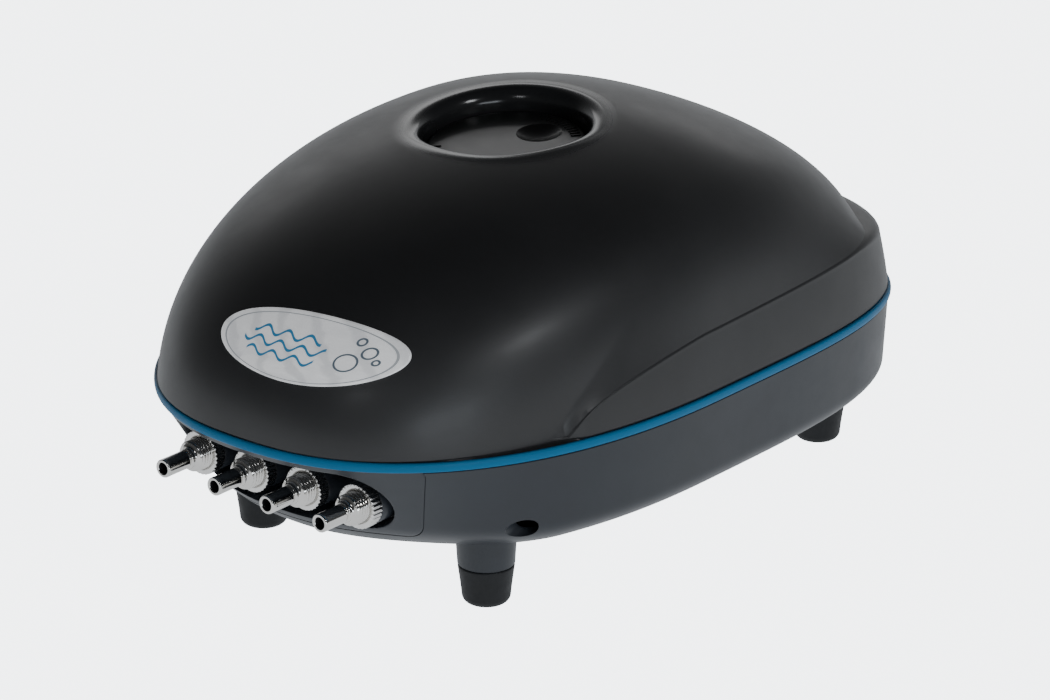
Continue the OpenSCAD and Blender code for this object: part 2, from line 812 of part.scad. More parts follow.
module chamber_gaskets() {
  color(rubber_col)
  for (side = [-1, 1]) at_chamber(side) difference() {
    chamber_block(gasket_out, cover_out - gasket_out);
    for (y = cavity_ys) translate([-15.5, y, 47]) cube([31, cavity_w, 3]);
    at_chamber_screws() rod(1.7, 46, 6, 24);
  }
}

// hose run: axis of the cover's hose port and its height
port_x = 53;
hose_z = 58;
// port frame: +Z forward from a point y off the chamber axis
module at_port(y)
  translate([port_x, chamber_y + y, hose_z]) rotate([90, 0, 0]) children();

module chamber_cover(side) {
  color(nylon_col)
  on_side(side) difference() {
    union() {
      chamber_frame() chamber_block(cover_out, head_out - cover_out);
      at_port(-19) rod(2, 0, 10, 32);
    }
    chamber_frame() for (y = cavity_ys)
      translate([-13.5, y, cover_out - 1]) cube([27, cavity_w, 8.5]);
    at_port(-15) rod(1.2, 0, 20, 24);
    // inlet opening in the outer face
    chamber_frame() translate([0, 9.5, 0]) rod(4, 54, 8, 32);
    chamber_frame() at_chamber_screws() rod(1.7, cover_out - 1, 14, 24);
  }
}

module chamber_screws() {
  color(steel_col)
  for (side = [-1, 1]) at_chamber(side) at_chamber_screws() {
    rod(1.4, 37, 22, 24);
    rod(2.7, head_out, 1.7, 32);
  }
}

// ---- Hoses ----

module hose_ring() difference() {
  circle(r = 3.5, $fn = 32);
  circle(r = 2.02, $fn = 32);
}
module hose_bend(r) rotate_extrude(angle = 90, $fn = 64) translate([r, 0]) hose_ring();

// from each chamber forward, round to the centre, then down onto the manifold
module air_hoses() {
  wide_r = 14;
  tight_r = 8;
  start_y = -48.6;
  end_z = 43;
  bend_x = port_x - wide_r;
  bend_y = hose_stub_y + wide_r;
  drop_x = hose_stub_x + tight_r;
  drop_z = hose_z - tight_r;
  color(hose_col)
  on_both_sides() union() {
    translate([port_x, start_y, hose_z]) rotate([90, 0, 0])
      linear_extrude(start_y - bend_y) hose_ring();
    translate([bend_x, bend_y, hose_z]) rotate([0, 0, -90]) hose_bend(wide_r);
    translate([drop_x, hose_stub_y, hose_z]) rotate([0, 90, 0])
      linear_extrude(bend_x - drop_x) hose_ring();
    translate([drop_x, hose_stub_y, drop_z]) rotate([90, 0, 0]) rotate([0, 0, 90])
      hose_bend(tight_r);
    translate([hose_stub_x, hose_stub_y, end_z]) linear_extrude(drop_z - end_z) hose_ring();
  }
}

// ---- Filter and cord ----

module filter_felt() {
  color(felt_col) translate([-22.5, 54.5, base_z + 4.2]) cube([45, 17, 6.4]);
}

// slotted cover with a low tab near each end
module filter_cover() {
  color(base_col)
  difference() {
    union() {
      translate([-22.7, 54.3, base_z - 0.2]) cube([45.4, 17.4, 3]);
      pair(21.7) translate([-1, 57, base_z + 2.6]) cube([2, 12, 1.5]);
    }
    for (i = [-3:3]) translate([i * 5.6 - 1.2, 57.5, base_z - 2]) cube([2.4, 11, 6]);
  }
}

// the length varies with trim_proud and front_reach
module power_cord() {
  color(cord_col) at_cord() rod(3.2, 76, 45 + trim_proud + front_reach - 121, 32);
}

// grommet with a flange each side of the housing wall and a ribbed, tapering tail
module cord_strain_relief() {
  bore_r = 3.22;
  color(relief_col)
  at_cord() rotate_extrude() polygon(concat(
    [[bore_r, 76], [6.5, 76], [6.5, 77.9], [4.55, 77.9], [4.55, 89.35], [6.4, 89.35], [6.4, 91.6]],
    [for (i = [0:4]) let (rib_r = 5.9 - i * 0.32, neck_r = 4.7 - i * 0.2, z = 92.5 + i * 3.4)
      each [[rib_r, z], [rib_r - 0.2, z + 1.9], [neck_r, z + 2.1], [neck_r - 0.1, z + 3.1]]],
    [[4.1, 110], [bore_r, 110]]));
}

upper_housing();
trim_band();
lower_housing();
outlet_faceplate();
badge_plate();
outlet_nipple(1);  // outlet_nipple_1
outlet_nipple(2);  // outlet_nipple_2
outlet_nipple(3);  // outlet_nipple_3
outlet_nipple(4);  // outlet_nipple_4
outlet_lock_nuts();
outlet_o_rings();
air_manifold();
foot_boot(-1, -1);  // foot_boot_front_left
foot_boot(1, -1);  // foot_boot_front_right
foot_boot(-1, 1);  // foot_boot_rear_left
foot_boot(1, 1);  // foot_boot_rear_right
housing_screws();
control_dial();
dial_spindle();
potentiometer();
potentiometer_nut();
control_board();
board_screws();
board_capacitor();
triac_heatsink();
chassis_plate();
chassis_isolators();
core_laminations();
coil_bobbin();
coil_winding();
core_bolts();
core_spacers();
swing_arm(-1);  // swing_arm_left
swing_arm(1);  // swing_arm_right
arm_magnet(-1);  // arm_magnet_left
arm_magnet(1);  // arm_magnet_right
arm_pivot_pins();
arm_pivot_blocks();
diaphragm(-1);  // diaphragm_left
diaphragm(1);  // diaphragm_right
diaphragm_clamp(-1);  // diaphragm_clamp_left
diaphragm_clamp(1);  // diaphragm_clamp_right
chamber_body(-1);  // chamber_body_left
chamber_body(1);  // chamber_body_right
valve_plate(-1);  // valve_plate_left
valve_plate(1);  // valve_plate_right
inlet_flap(-1);  // inlet_flap_left
inlet_flap(1);  // inlet_flap_right
outlet_flap(-1);  // outlet_flap_left
outlet_flap(1);  // outlet_flap_right
chamber_gaskets();
chamber_cover(-1);  // chamber_cover_left
chamber_cover(1);  // chamber_cover_right
chamber_screws();
air_hoses();
filter_felt();
filter_cover();
power_cord();
cord_strain_relief();
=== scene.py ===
# Air pump with four outlets: an egg-shaped cover with a tilted flow dial and a foil badge,
# a blue trim band, and a lower housing on four rubber boots.
# It stands on z = 0 with +Z up; the outlets and badge face the front, -Y, and left is -X.
# Shapes are worked out in millimetres and scaled to metres when a mesh is made.
import json
import math
import bpy
import bmesh
import numpy as np
from mathutils import Vector, Matrix


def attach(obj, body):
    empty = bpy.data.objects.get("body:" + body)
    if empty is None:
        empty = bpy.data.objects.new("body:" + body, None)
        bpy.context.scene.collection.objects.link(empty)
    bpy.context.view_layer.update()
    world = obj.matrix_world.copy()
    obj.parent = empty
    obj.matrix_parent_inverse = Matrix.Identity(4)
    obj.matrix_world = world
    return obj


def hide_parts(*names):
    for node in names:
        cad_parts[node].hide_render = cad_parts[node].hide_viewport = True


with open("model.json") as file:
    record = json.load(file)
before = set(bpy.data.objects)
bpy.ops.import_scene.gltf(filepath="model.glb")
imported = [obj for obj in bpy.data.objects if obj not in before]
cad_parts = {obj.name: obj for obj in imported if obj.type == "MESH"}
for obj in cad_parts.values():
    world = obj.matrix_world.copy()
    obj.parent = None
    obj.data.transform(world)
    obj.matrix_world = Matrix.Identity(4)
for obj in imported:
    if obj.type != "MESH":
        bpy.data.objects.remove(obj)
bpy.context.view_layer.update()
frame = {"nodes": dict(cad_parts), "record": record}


def steps(full):
    return full


# ---------------------------------------------------------------- driving sizes, mm
MM = 0.001
BODY_W = 145.8       # plan outline of the housing
OVAL_Y = -15.9       # y where its front and rear halves meet
FRONT = 121.0        # reach of outline and dome towards -Y
REAR = 89.5          # reach of the outline towards +Y
DOME_W = 138.4
DOME_REAR = 88.8
TRIM_Z = 49.3        # middle of the trim band
Z_LO, Z_HI = TRIM_Z - 1, TRIM_Z + 1
RISE = 61.3          # height of the dome above TRIM_Z
BASE_Z = 20.8        # underside of the lower housing
RIM_INSET = 4.2      # hidden flanges where the parts meet at the trim
SKIRT_H = 17.9
COWL_H = 19.7
SKIRT_Y = -69        # front end of the side skirt
FEET = [(x, y) for y in (-71.2, 71.2) for x in (-39.0, 39.0)]
FOOT_HOLE_R = 1.7

# front panel: sloping sides run from the shoulder into a round lower corner
PANEL_SHOULDER_X, PANEL_SHOULDER_Z = 45.6, Z_LO - 2.1
PANEL_CORNER_X, PANEL_CORNER_Z = 33.1, 31.8
PANEL_CORNER_R = 7.0

OUTLET_PITCH = 18.0
OUTLET_X = [(i - 1.5) * OUTLET_PITCH for i in range(4)]
OUTLET_Z = 34.9
BORE_R = 1.6

BADGE_X, BADGE_Z = 11.7, 74.5
BADGE_HALF_W, BADGE_HALF_H = 26.25, 7.16

DIAL_TILT = math.radians(5)
DIAL_C = np.array([0.0, -16.9, 101.5])
DIAL_Y = np.array([0.0, math.cos(DIAL_TILT), math.sin(DIAL_TILT)])
DIAL_Z = np.array([0.0, -math.sin(DIAL_TILT), math.cos(DIAL_TILT)])
WELL_R = 21.75       # round well the dial sits in
DIMPLE_ANGLE = math.radians(71)


# ---------------------------------------------------------------- shape functions
def smooth(low, high, value):
    t = np.clip((value - low) / (high - low), 0, 1)
    return t * t * (3 - 2 * t)


def mix(start, end, amount):
    return start + (end - start) * np.asarray(amount)[..., None]


def points(x, y, z):
    return np.stack(np.broadcast_arrays(x, y, z), -1)


def superellipse(angle, front_power, rear_power):
    """x and y factors of a plan curve whose angle 0 faces the front"""
    cosine, sine = np.cos(angle), np.sin(angle)
    power = np.where(cosine > 0, front_power, rear_power)
    return np.sign(sine) * np.abs(sine) ** (2 / power), np.abs(cosine) ** (2 / power)


def oval(angle, inset, z):
    """plan outline of the housing"""
    across, along = superellipse(angle, 2.3, 3.9)
    reach = np.where(np.cos(angle) > 0, -(FRONT + OVAL_Y - inset), REAR - OVAL_Y - inset)
    return points((BODY_W / 2 - inset) * across, OVAL_Y + reach * along, z)


def dome_section(level):
    """centre y, half width, front and rear reach, front and rear power; level is 0 to 1"""
    centre = -14.4 + 16.5 * level * level
    half_width = DOME_W / 2 * np.maximum(0, 1 - level ** 4.06) ** (1 / 1.83)
    front = (FRONT + centre) * np.maximum(0, 1 - level ** 2.16) ** (1 / 1.7)
    rear = (DOME_REAR - centre) * np.maximum(0, 1 - level ** 2.19) ** (1 / 1.7)
    return centre, half_width, front, rear, 2.46 - 0.46 * level, 3.63 - 1.63 * level


def dome(angle, level):
    centre, half_width, front, rear, front_power, rear_power = dome_section(level)
    across, along = superellipse(angle, front_power, rear_power)
    reach = np.where(np.cos(angle) > 0, -front, rear)
    return points(half_width * across, centre + reach * along, TRIM_Z + RISE * level)


def dome_value(x, y, z):
    """below 1 inside the dome, above 1 outside it"""
    level = np.clip((z - TRIM_Z) / RISE, 0, 0.999999)
    centre, half_width, front, rear, front_power, rear_power = dome_section(level)
    in_front = y < centre
    reach = np.where(in_front, front, rear)
    power = np.where(in_front, front_power, rear_power)
    value = (np.abs(x) / half_width) ** power + (np.abs(y - centre) / reach) ** power
    return np.where(z >= TRIM_Z + RISE, 9, value)


def dome_front_y(x, z, lift):
    """y of the dome's front at (x, z), moved out by lift"""
    centre, half_width, front, _, power, _ = dome_section((z - TRIM_Z) / RISE)
    return centre - front * (1 - np.abs(x / half_width) ** power) ** (1 / power) - lift


def lip_radius(y):
    return 1 + 3.2 * smooth(48, 78, y)


SKIRT_STATIONS = np.linspace(SKIRT_Y, 90, 1591)
_forward = np.clip((-20 - SKIRT_STATIONS) / 49, 0, 1)
SKIRT_HEIGHTS = ((SKIRT_H - 1.9) * np.maximum(0, 1 - _forward ** 1.5) ** 0.44
                 + 1.9 * smooth(-50, 50, SKIRT_STATIONS))


def skirt_top(angle):
    """height of the side skirt, which rises into the rear cowl"""
    y = oval(angle, 0, 0)[..., 1]
    height = np.interp(y, SKIRT_STATIONS, SKIRT_HEIGHTS)
    cowl = 1 - lip_radius(y) + (COWL_H - SKIRT_H - 1) * smooth(44, 72, y)
    return np.where(y < SKIRT_Y, 0, height + np.where(y > 0, cowl, 0))


def lean(z):
    """how far the skirt leans in at z above TRIM_Z"""
    return 0.1 + 3.1 * (np.maximum(z, 0) / 20) ** 1.3


def low(angle, z, extra=0):
    """lower housing outline, tucked in below the trim, most strongly at the front"""
    drop = Z_LO - z
    side = 0.045 * drop + 9 * np.clip((drop - 19) / 8.5, 0, 1) ** 2.2
    front = 0.634 * drop + 3.2 * np.clip((drop - 20.5) / 7, 0, 1) ** 2
    tuck = side + (front - side) * smooth(0.45, 1, np.cos(angle))
    return oval(angle, tuck + extra, z)


def even_stations(count):
    """angles evenly spaced along the outline, but closer at the skirt's front end"""
    angles = np.linspace(0, 2 * np.pi, 40001)
    outline = oval(angles, 0, 0)
    length = np.hypot(*np.diff(outline[:, :2], axis=0).T)
    y = (outline[1:, 1] + outline[:-1, 1]) / 2
    length = length * (1 + 9 * np.exp(-((y + 67.5) / 2.2) ** 2)
                       + 2 * np.exp(-((y + 62) / 8) ** 2))
    run = np.concatenate([[0], np.cumsum(length)])
    return np.interp(np.arange(count) / count * run[-1], run, angles)


ANGLES = even_stations(steps(460))


def from_dial(local):
    """dial coordinates (z along its axis, 0 at its face) to the pump's"""
    local = np.asarray(local, float)
    return (DIAL_C + local[..., :1] * np.array([1.0, 0, 0])
            + local[..., 1:2] * DIAL_Y + local[..., 2:3] * DIAL_Z)


# ---------------------------------------------------------------- mesh helpers
# A shape is a pair: vertices in mm, and faces.
def surf(grid, close_rows=False, close_ring=False):
    """quads over a grid of points"""
    rows, columns = grid.shape[:2]
    i, j = np.meshgrid(np.arange(rows if close_rows else rows - 1),
                       np.arange(columns if close_ring else columns - 1), indexing="ij")
    i2, j2 = (i + 1) % rows, (j + 1) % columns
    corners = [i * columns + j, i * columns + j2, i2 * columns + j2, i2 * columns + j]
    return grid.reshape(-1, 3), np.stack(corners, -1).reshape(-1, 4).tolist()


def join(shapes):
    all_verts, all_faces, count = [], [], 0
    for verts, faces in shapes:
        all_verts.append(verts)
        all_faces += [[i + count for i in face] for face in faces]
        count += len(verts)
    return np.concatenate(all_verts), all_faces


def ring_angles(count):
    return np.arange(count) * 2 * np.pi / count


def lathe(profile, segments, place=None):
    """profile of (radius, height) turned about +Z, then placed"""
    profile = np.array(profile, float)
    turn = ring_angles(segments)
    radius, height = profile[:, None, 0], profile[:, None, 1]
    verts, faces = surf(points(radius * np.cos(turn), radius * np.sin(turn), height), False, True)
    return (place(verts) if place else verts), faces


def tube(hole, radius, bottom, top):
    """lathe profile of a plain tube, or of a rod when hole is 0"""
    return [(hole, bottom), (radius, bottom), (radius, top), (hole, top)]


def shifted(x, y):
    return lambda verts: verts + np.array([x, y, 0])


def at_outlet(x):
    """lays a +Z lathe along -Y on an outlet's axis"""
    return lambda verts: points(x + verts[:, 0], -verts[:, 2], OUTLET_Z + verts[:, 1])


def box(x0, x1, y0, y1, z0, z1):
    verts = [(x, y, z) for x in (x0, x1) for y in (y0, y1) for z in (z0, z1)]
    faces = [(0, 1, 3, 2), (4, 6, 7, 5), (0, 4, 5, 1), (2, 3, 7, 6), (0, 2, 6, 4), (1, 5, 7, 3)]
    return np.array(verts, float), faces


def prism(outline, y0, y1):
    """polygon in (x, z), extruded along y"""
    count = len(outline)
    verts = [(x, y, z) for y in (y0, y1) for x, z in outline]
    faces = [list(range(count))[::-1], list(range(count, 2 * count))]
    for i in range(count):
        after = (i + 1) % count
        faces.append((i, after, count + after, count + i))
    return np.array(verts, float), faces


def make_mesh(name, shape, validate=False):
    """metre mesh with doubles welded and normals outward"""
    verts, faces = shape
    mesh = bpy.data.meshes.new(name)
    mesh.from_pydata((np.asarray(verts, float) * MM).tolist(), [], faces)
    if validate:
        mesh.validate()
    edit = bmesh.new()
    edit.from_mesh(mesh)
    bmesh.ops.remove_doubles(edit, verts=edit.verts, dist=1e-7)
    bmesh.ops.recalc_face_normals(edit, faces=edit.faces)
    edit.to_mesh(mesh)
    edit.free()
    return mesh


def shade_smooth(mesh, angle):
    mesh.polygons.foreach_set("use_smooth", [True] * len(mesh.polygons))
    mesh.set_sharp_from_angle(angle=math.radians(angle))


def make_object(name, shape, material, angle):
    mesh = make_mesh(name, shape, validate=True)
    shade_smooth(mesh, angle)
    piece = bpy.data.objects.new(name, mesh)
    bpy.context.scene.collection.objects.link(piece)
    mesh.materials.append(MATERIALS[material])
    return piece


def register(piece, body, replaced=None):
    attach(piece, body)
    if replaced:
        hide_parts(replaced)


def add_housing(name, shape, material, replaced=None, angle=50):
    """object that rides with the housing; edges sharper than angle stay sharp"""
    piece = make_object(name, shape, material, angle)
    register(piece, "housing", replaced)
    return piece


def cut(piece, *shapes):
    """exact boolean difference, applied to the mesh"""
    for shape in shapes:
        mesh = make_mesh("cutter", shape)
        cutter = bpy.data.objects.new("cutter", mesh)
        bpy.context.scene.collection.objects.link(cutter)
        boolean = piece.modifiers.new("cut", "BOOLEAN")
        boolean.operation = "DIFFERENCE"
        boolean.solver = "EXACT"
        boolean.object = cutter
        depsgraph = bpy.context.evaluated_depsgraph_get()
        result = bpy.data.meshes.new_from_object(piece.evaluated_get(depsgraph))
        piece.modifiers.remove(boolean)
        before = piece.data
        piece.data = result
        bpy.data.objects.remove(cutter)
        bpy.data.meshes.remove(mesh)
        bpy.data.meshes.remove(before)
    shade_smooth(piece.data, 35)


# ---------------------------------------------------------------- material helpers
class Nodes:
    """small wrapper round a node tree"""

    def __init__(self, tree):
        self.tree = tree

    def feed(self, socket, value):
        """links a socket or sets a value; colours may leave out alpha"""
        if hasattr(value, "is_linked"):
            self.tree.links.new(value, socket)
        elif socket.type == "RGBA" and len(value) == 3:
            socket.default_value = (*value, 1)
        else:
            socket.default_value = value

    def node(self, kind, inputs={}, **settings):
        node = self.tree.nodes.new(kind)
        for key, value in settings.items():
            setattr(node, key, value)
        for key, value in inputs.items():
            self.feed(node.inputs[key], value)
        return node

    def remap(self, value, span, to=(0, 1), kind="LINEAR"):
        inputs = {"Value": value, "From Min": span[0], "From Max": span[1],
                  "To Min": to[0], "To Max": to[1]}
        return self.node("ShaderNodeMapRange", inputs, interpolation_type=kind).outputs["Result"]

    def math(self, operation, *values):
        inputs = dict(enumerate(values if len(values) > 1 else (*values, 0.0)))
        return self.node("ShaderNodeMath", inputs, operation=operation).outputs[0]

    def add(self, first, second):
        return self.math("ADD", first, second)

    def sub(self, first, second):
        return self.math("SUBTRACT", first, second)

    def mul(self, first, second):
        return self.math("MULTIPLY", first, second)

    def length(self, first, second):
        return self.math("SQRT", self.add(self.mul(first, first), self.mul(second, second)))


class Material(Nodes):
    """texture scales are per metre of object space, bump heights are metres"""

    INPUTS = {"color": "Base Color", "rough": "Roughness", "metal": "Metallic",
              "spec": "Specular IOR Level", "coat": "Coat Weight",
              "coat_rough": "Coat Roughness", "sheen": "Sheen Weight",
              "trans": "Transmission Weight", "glow": "Emission Color",
              "glow_strength": "Emission Strength"}

    def __init__(self, name):
        self.material = bpy.data.materials.new(name)
        self.material.use_nodes = True
        super().__init__(self.material.node_tree)
        self.shader = self.tree.nodes["Principled BSDF"]
        self.coords = self.node("ShaderNodeTexCoord").outputs["Object"]

    def set(self, **values):
        for key, value in values.items():
            self.feed(self.shader.inputs[self.INPUTS[key]], value)

    def position(self):
        return self.node("ShaderNodeSeparateXYZ", {0: self.coords}).outputs

    def noise(self, scale, detail=4, rough=0.55, stretch=None, distortion=0):
        vector = self.coords
        if stretch:
            mapping = {"Vector": vector, "Scale": stretch}
            vector = self.node("ShaderNodeMapping", mapping).outputs[0]
        inputs = {"Vector": vector, "Scale": scale, "Detail": detail, "Roughness": rough,
                  "Distortion": distortion}
        return self.node("ShaderNodeTexNoise", inputs).outputs["Fac"]

    def voronoi(self, scale, feature="F1"):
        inputs = {"Vector": self.coords, "Scale": scale}
        return self.node("ShaderNodeTexVoronoi", inputs, feature=feature).outputs["Distance"]

    def mix(self, factor, first, second):
        inputs = {0: factor, 6: first, 7: second}
        return self.node("ShaderNodeMix", inputs, data_type="RGBA").outputs[2]

    def mottle(self, value, span, color, shades):
        """blends between two brightnesses of one colour"""
        first, second = (tuple(min(1, v * shade) for v in color) for shade in shades)
        return self.mix(self.remap(value, span), first, second)

    def bump(self, height, distance, strength=1.0):
        inputs = {"Height": height, "Distance": distance, "Strength": strength}
        self.feed(self.shader.inputs["Normal"], self.node("ShaderNodeBump", inputs).outputs[0])


# ---------------------------------------------------------------- materials
def plastic(name, color, rough, grain, height, vary, mottle, coat=0.0):
    """moulded plastic: fine grain, faint flow mottling, uneven polish"""
    m = Material(name)
    flow = m.noise(scale=38, detail=5, rough=0.6)
    fine = m.noise(scale=grain, detail=2, rough=0.5)
    tint = m.mottle(flow, span=(0.3, 0.7), color=color, shades=(1 - mottle, 1 + mottle))
    polish = m.remap(m.noise(scale=90, detail=5, rough=0.65), span=(0.25, 0.75),
                     to=(rough - vary, rough + vary))
    m.set(color=tint, rough=polish, spec=0.5, coat=coat, coat_rough=0.12)
    m.bump(fine, distance=height)
    return m.material


def shell_plastic():
    """cover plastic, glossier round the dial, with faint hairline scuffs"""
    m = Material("shell_black")
    x, y, z = m.position()
    axis_distance = m.length(x, m.sub(y, DIAL_C[1] * MM))
    near = m.remap(axis_distance, span=(0.0255, 0.031), to=(1, 0), kind="SMOOTHSTEP")
    tint = m.mottle(m.noise(scale=26, detail=5, rough=0.6), span=(0.3, 0.7),
                    color=(0.030, 0.0302, 0.0315), shades=(0.9, 1.12))
    rough = m.remap(m.noise(scale=70, detail=5, rough=0.65), span=(0.25, 0.75), to=(0.38, 0.46))
    near_rough = 0.17
    rough = m.add(m.mul(rough, m.sub(1.0, near)), m.mul(near, near_rough))
    m.set(color=tint, rough=rough, spec=0.5, coat=0.06, coat_rough=0.2)
    grain = m.noise(scale=2300, detail=2, rough=0.5)
    scuff = m.remap(m.noise(scale=55, detail=3, rough=0.6, stretch=(1, 9, 5)), span=(0.66, 0.72))
    grain_loss, scuff_depth = 0.8, -0.35
    height = m.add(m.mul(grain, m.sub(1.0, m.mul(near, grain_loss))), m.mul(scuff, scuff_depth))
    m.bump(height, distance=0.000006)
    return m.material


def trim_plastic():
    m = Material("trim_blue")
    tint = m.mix(m.noise(scale=30), (0.0, 0.15, 0.32), (0.0, 0.18, 0.38))
    m.set(color=tint, rough=m.remap(m.noise(scale=140), span=(0.3, 0.7), to=(0.34, 0.44)),
          spec=0.2)
    m.bump(m.noise(scale=2600, detail=2), distance=0.000004)
    return m.material


def nickel(name, color, rough, turned):
    m = Material(name)
    spots = m.noise(scale=300, detail=5, rough=0.65)
    tint = m.mottle(spots, span=(0.35, 0.75), color=color, shades=(1.0, 0.86))
    m.set(color=tint, metal=1.0,
          rough=m.remap(m.noise(scale=420, detail=5, rough=0.7), span=(0.3, 0.75), to=rough))
    if turned:
        # turning marks run round the axis, which lies along Y
        height = m.noise(scale=900, detail=2, rough=0.5, stretch=(0.15, 1, 0.15))
    else:
        height = m.noise(scale=1200, detail=2, rough=0.5)
    m.bump(height, distance=0.000001)
    return m.material


def badge_foil():
    """crinkled silver foil printed with waves, rings and a rim line, with painted shade along its
    folds and a faint painted glow
    """
    m = Material("badge_foil")
    x, y, z = m.position()
    # mm from the badge's centre, across and up
    across = m.mul(m.sub(x, BADGE_X * MM), 1 / MM)
    up = m.mul(m.sub(z, BADGE_Z * MM), 1 / MM)
    radius = m.length(m.math("DIVIDE", across, BADGE_HALF_W), m.math("DIVIDE", up, BADGE_HALF_H))
    streak = m.noise(scale=60, rough=0.65, stretch=(0.25, 1, 7))
    cloud = m.noise(scale=70, rough=0.6, stretch=(1, 1, 2.2), distortion=0.6)
    # slanting folds, bent by the clouds; they raise the relief and also carry painted shade
    fold_across, fold_up, fold_bend = 0.62, 0.75, 7.0
    slant = m.add(m.mul(across, fold_across), m.mul(up, fold_up))
    fold = m.math("SINE", m.add(slant, m.mul(cloud, fold_bend)))
    tint = m.mix(m.remap(cloud, span=(0.3, 0.7)), (0.84, 0.85, 0.865), (0.97, 0.975, 0.98))
    # painted shade: the tint darkens along each fold
    tint = m.mix(m.remap(fold, span=(0.1, 1.0), to=(0, 0.55), kind="SMOOTHSTEP"),
                 tint, (0.60, 0.61, 0.63))
    tint = m.mix(m.remap(streak, span=(0.35, 0.75), to=(0, 0.2)), tint, (0.66, 0.67, 0.69))

    # rings: centre across, centre up, radius
    rings = 0.0
    half_line, blur = 0.21, 0.12
    squash = 1.55    # makes the rings round as seen along the slope
    for ring_x, ring_up, size in ((13.2, -1.1, 2.7), (17.6, 1.2, 1.7),
                                  (14.6, 3.3, 1.05), (19.9, -0.6, 0.8)):
        distance = m.length(m.sub(across, ring_x), m.mul(m.sub(up, ring_up), squash))
        offset = m.math("ABSOLUTE", m.sub(distance, size))
        line = m.remap(offset, span=(half_line, half_line + blur), to=(1, 0))
        rings = m.math("MAXIMUM", rings, line)
    # three rows of waves, the middle one longest
    waves = 0.0
    wave_rate, wave_shift, wave_height = 0.95, 0.9, 0.75
    for row, row_up in enumerate((2.35, 0.1, -2.15)):
        phase = m.math("MULTIPLY_ADD", across, wave_rate, wave_shift * row)
        wave = m.mul(m.math("SINE", phase), wave_height)
        offset = m.math("ABSOLUTE", m.sub(m.sub(up, row_up), wave))
        line = m.remap(offset, span=(0.24, 0.36), to=(1, 0))
        left = -17.5 + 2.2 * abs(row - 1)
        right = 7.2 - 2.0 * abs(row - 1)
        limits = m.mul(m.remap(across, span=(left, left + 0.3)),
                       m.remap(across, span=(right, right + 0.3), to=(1, 0)))
        waves = m.math("MAXIMUM", waves, m.mul(line, limits))
    rim_radius = 0.915
    rim = m.remap(m.math("ABSOLUTE", m.sub(radius, rim_radius)), span=(0.009, 0.014), to=(1, 0))
    tint = m.mix(rim, tint, (0.34, 0.36, 0.38))
    tint = m.mix(waves, tint, (0.035, 0.19, 0.36))
    tint = m.mix(rings, tint, (0.09, 0.12, 0.15))
    printed = m.math("MAXIMUM", m.math("MAXIMUM", rings, waves), rim)
    foil_metal = 0.15
    # painted light: the foil glows faintly in its own tint, though the badge is no lamp
    m.set(color=tint, metal=m.sub(foil_metal, m.mul(printed, foil_metal)),
          rough=m.remap(streak, span=(0.3, 0.7), to=(0.28, 0.42)), coat=0.35, coat_rough=0.12,
          glow=tint, glow_strength=0.42)
    cloud_depth, fold_depth, streak_depth = 1.0, 0.25, 0.35
    relief = m.add(m.mul(cloud, cloud_depth), m.mul(fold, fold_depth))
    m.bump(m.add(relief, m.mul(streak, streak_depth)), distance=0.00016, strength=0.7)
    return m.material


def rubber(name, color, rough=0.62, grain=1500, height=0.00001):
    m = Material(name)
    tint = m.mottle(m.noise(scale=120, detail=5, rough=0.7), span=(0.3, 0.75),
                    color=color, shades=(0.8, 1.25))
    m.set(color=tint, spec=0.35, rough=m.remap(m.noise(scale=260, rough=0.7), span=(0.3, 0.7),
                                               to=(rough - 0.08, rough + 0.1)))
    coarse_depth = 1.4
    m.bump(m.add(m.noise(scale=grain, detail=3, rough=0.6),
                 m.mul(m.noise(scale=240, detail=3), coarse_depth)), distance=height)
    return m.material


def steel(name, color, rough, stretch=(1, 1, 1)):
    m = Material(name)
    grain = m.noise(scale=500, detail=5, rough=0.65, stretch=stretch)
    tint = m.mottle(m.noise(scale=90, detail=5, rough=0.7), span=(0.3, 0.7),
                    color=color, shades=(0.85, 1.08))
    m.set(color=tint, metal=1.0,
          rough=m.remap(grain, span=(0.25, 0.75), to=(rough - 0.09, rough + 0.1)))
    m.bump(grain, distance=0.000006)
    return m.material


def copper_winding():
    m = Material("copper_winding")
    x, y, z = m.position()
    wire_pitch = 0.00052
    turns = m.math("SINE", m.mul(y, 2 * math.pi / wire_pitch))
    # painted shade and highlight: each wire turn is lit on its crown and dark in the groove
    # between turns
    tint = m.mix(m.remap(turns, span=(-1, 1)), (0.20, 0.055, 0.015), (0.72, 0.30, 0.12))
    tint = m.mix(m.remap(m.noise(scale=160), span=(0.4, 0.7), to=(0, 0.4)),
                 tint, (0.35, 0.12, 0.04))
    m.set(color=tint, metal=0.8, rough=0.28, coat=0.6, coat_rough=0.1)
    m.bump(turns, distance=0.00006)
    return m.material


def laminations():
    """stacked steel sheets with patches of rust"""
    m = Material("steel_laminations")
    x, y, z = m.position()
    sheet_pitch = 0.0005
    layers = m.math("SINE", m.mul(z, 2 * math.pi / sheet_pitch))
    rust = m.remap(m.noise(scale=130, detail=6, rough=0.7), span=(0.52, 0.72), to=(0, 0.55))
    tint = m.mix(m.remap(layers, span=(-1, 1)), (0.07, 0.075, 0.085), (0.30, 0.31, 0.33))
    tint = m.mix(rust, tint, (0.17, 0.085, 0.04))
    m.set(color=tint, metal=0.75,
          rough=m.remap(m.noise(scale=400), span=(0.3, 0.7), to=(0.36, 0.55)))
    m.bump(layers, distance=0.00004)
    return m.material


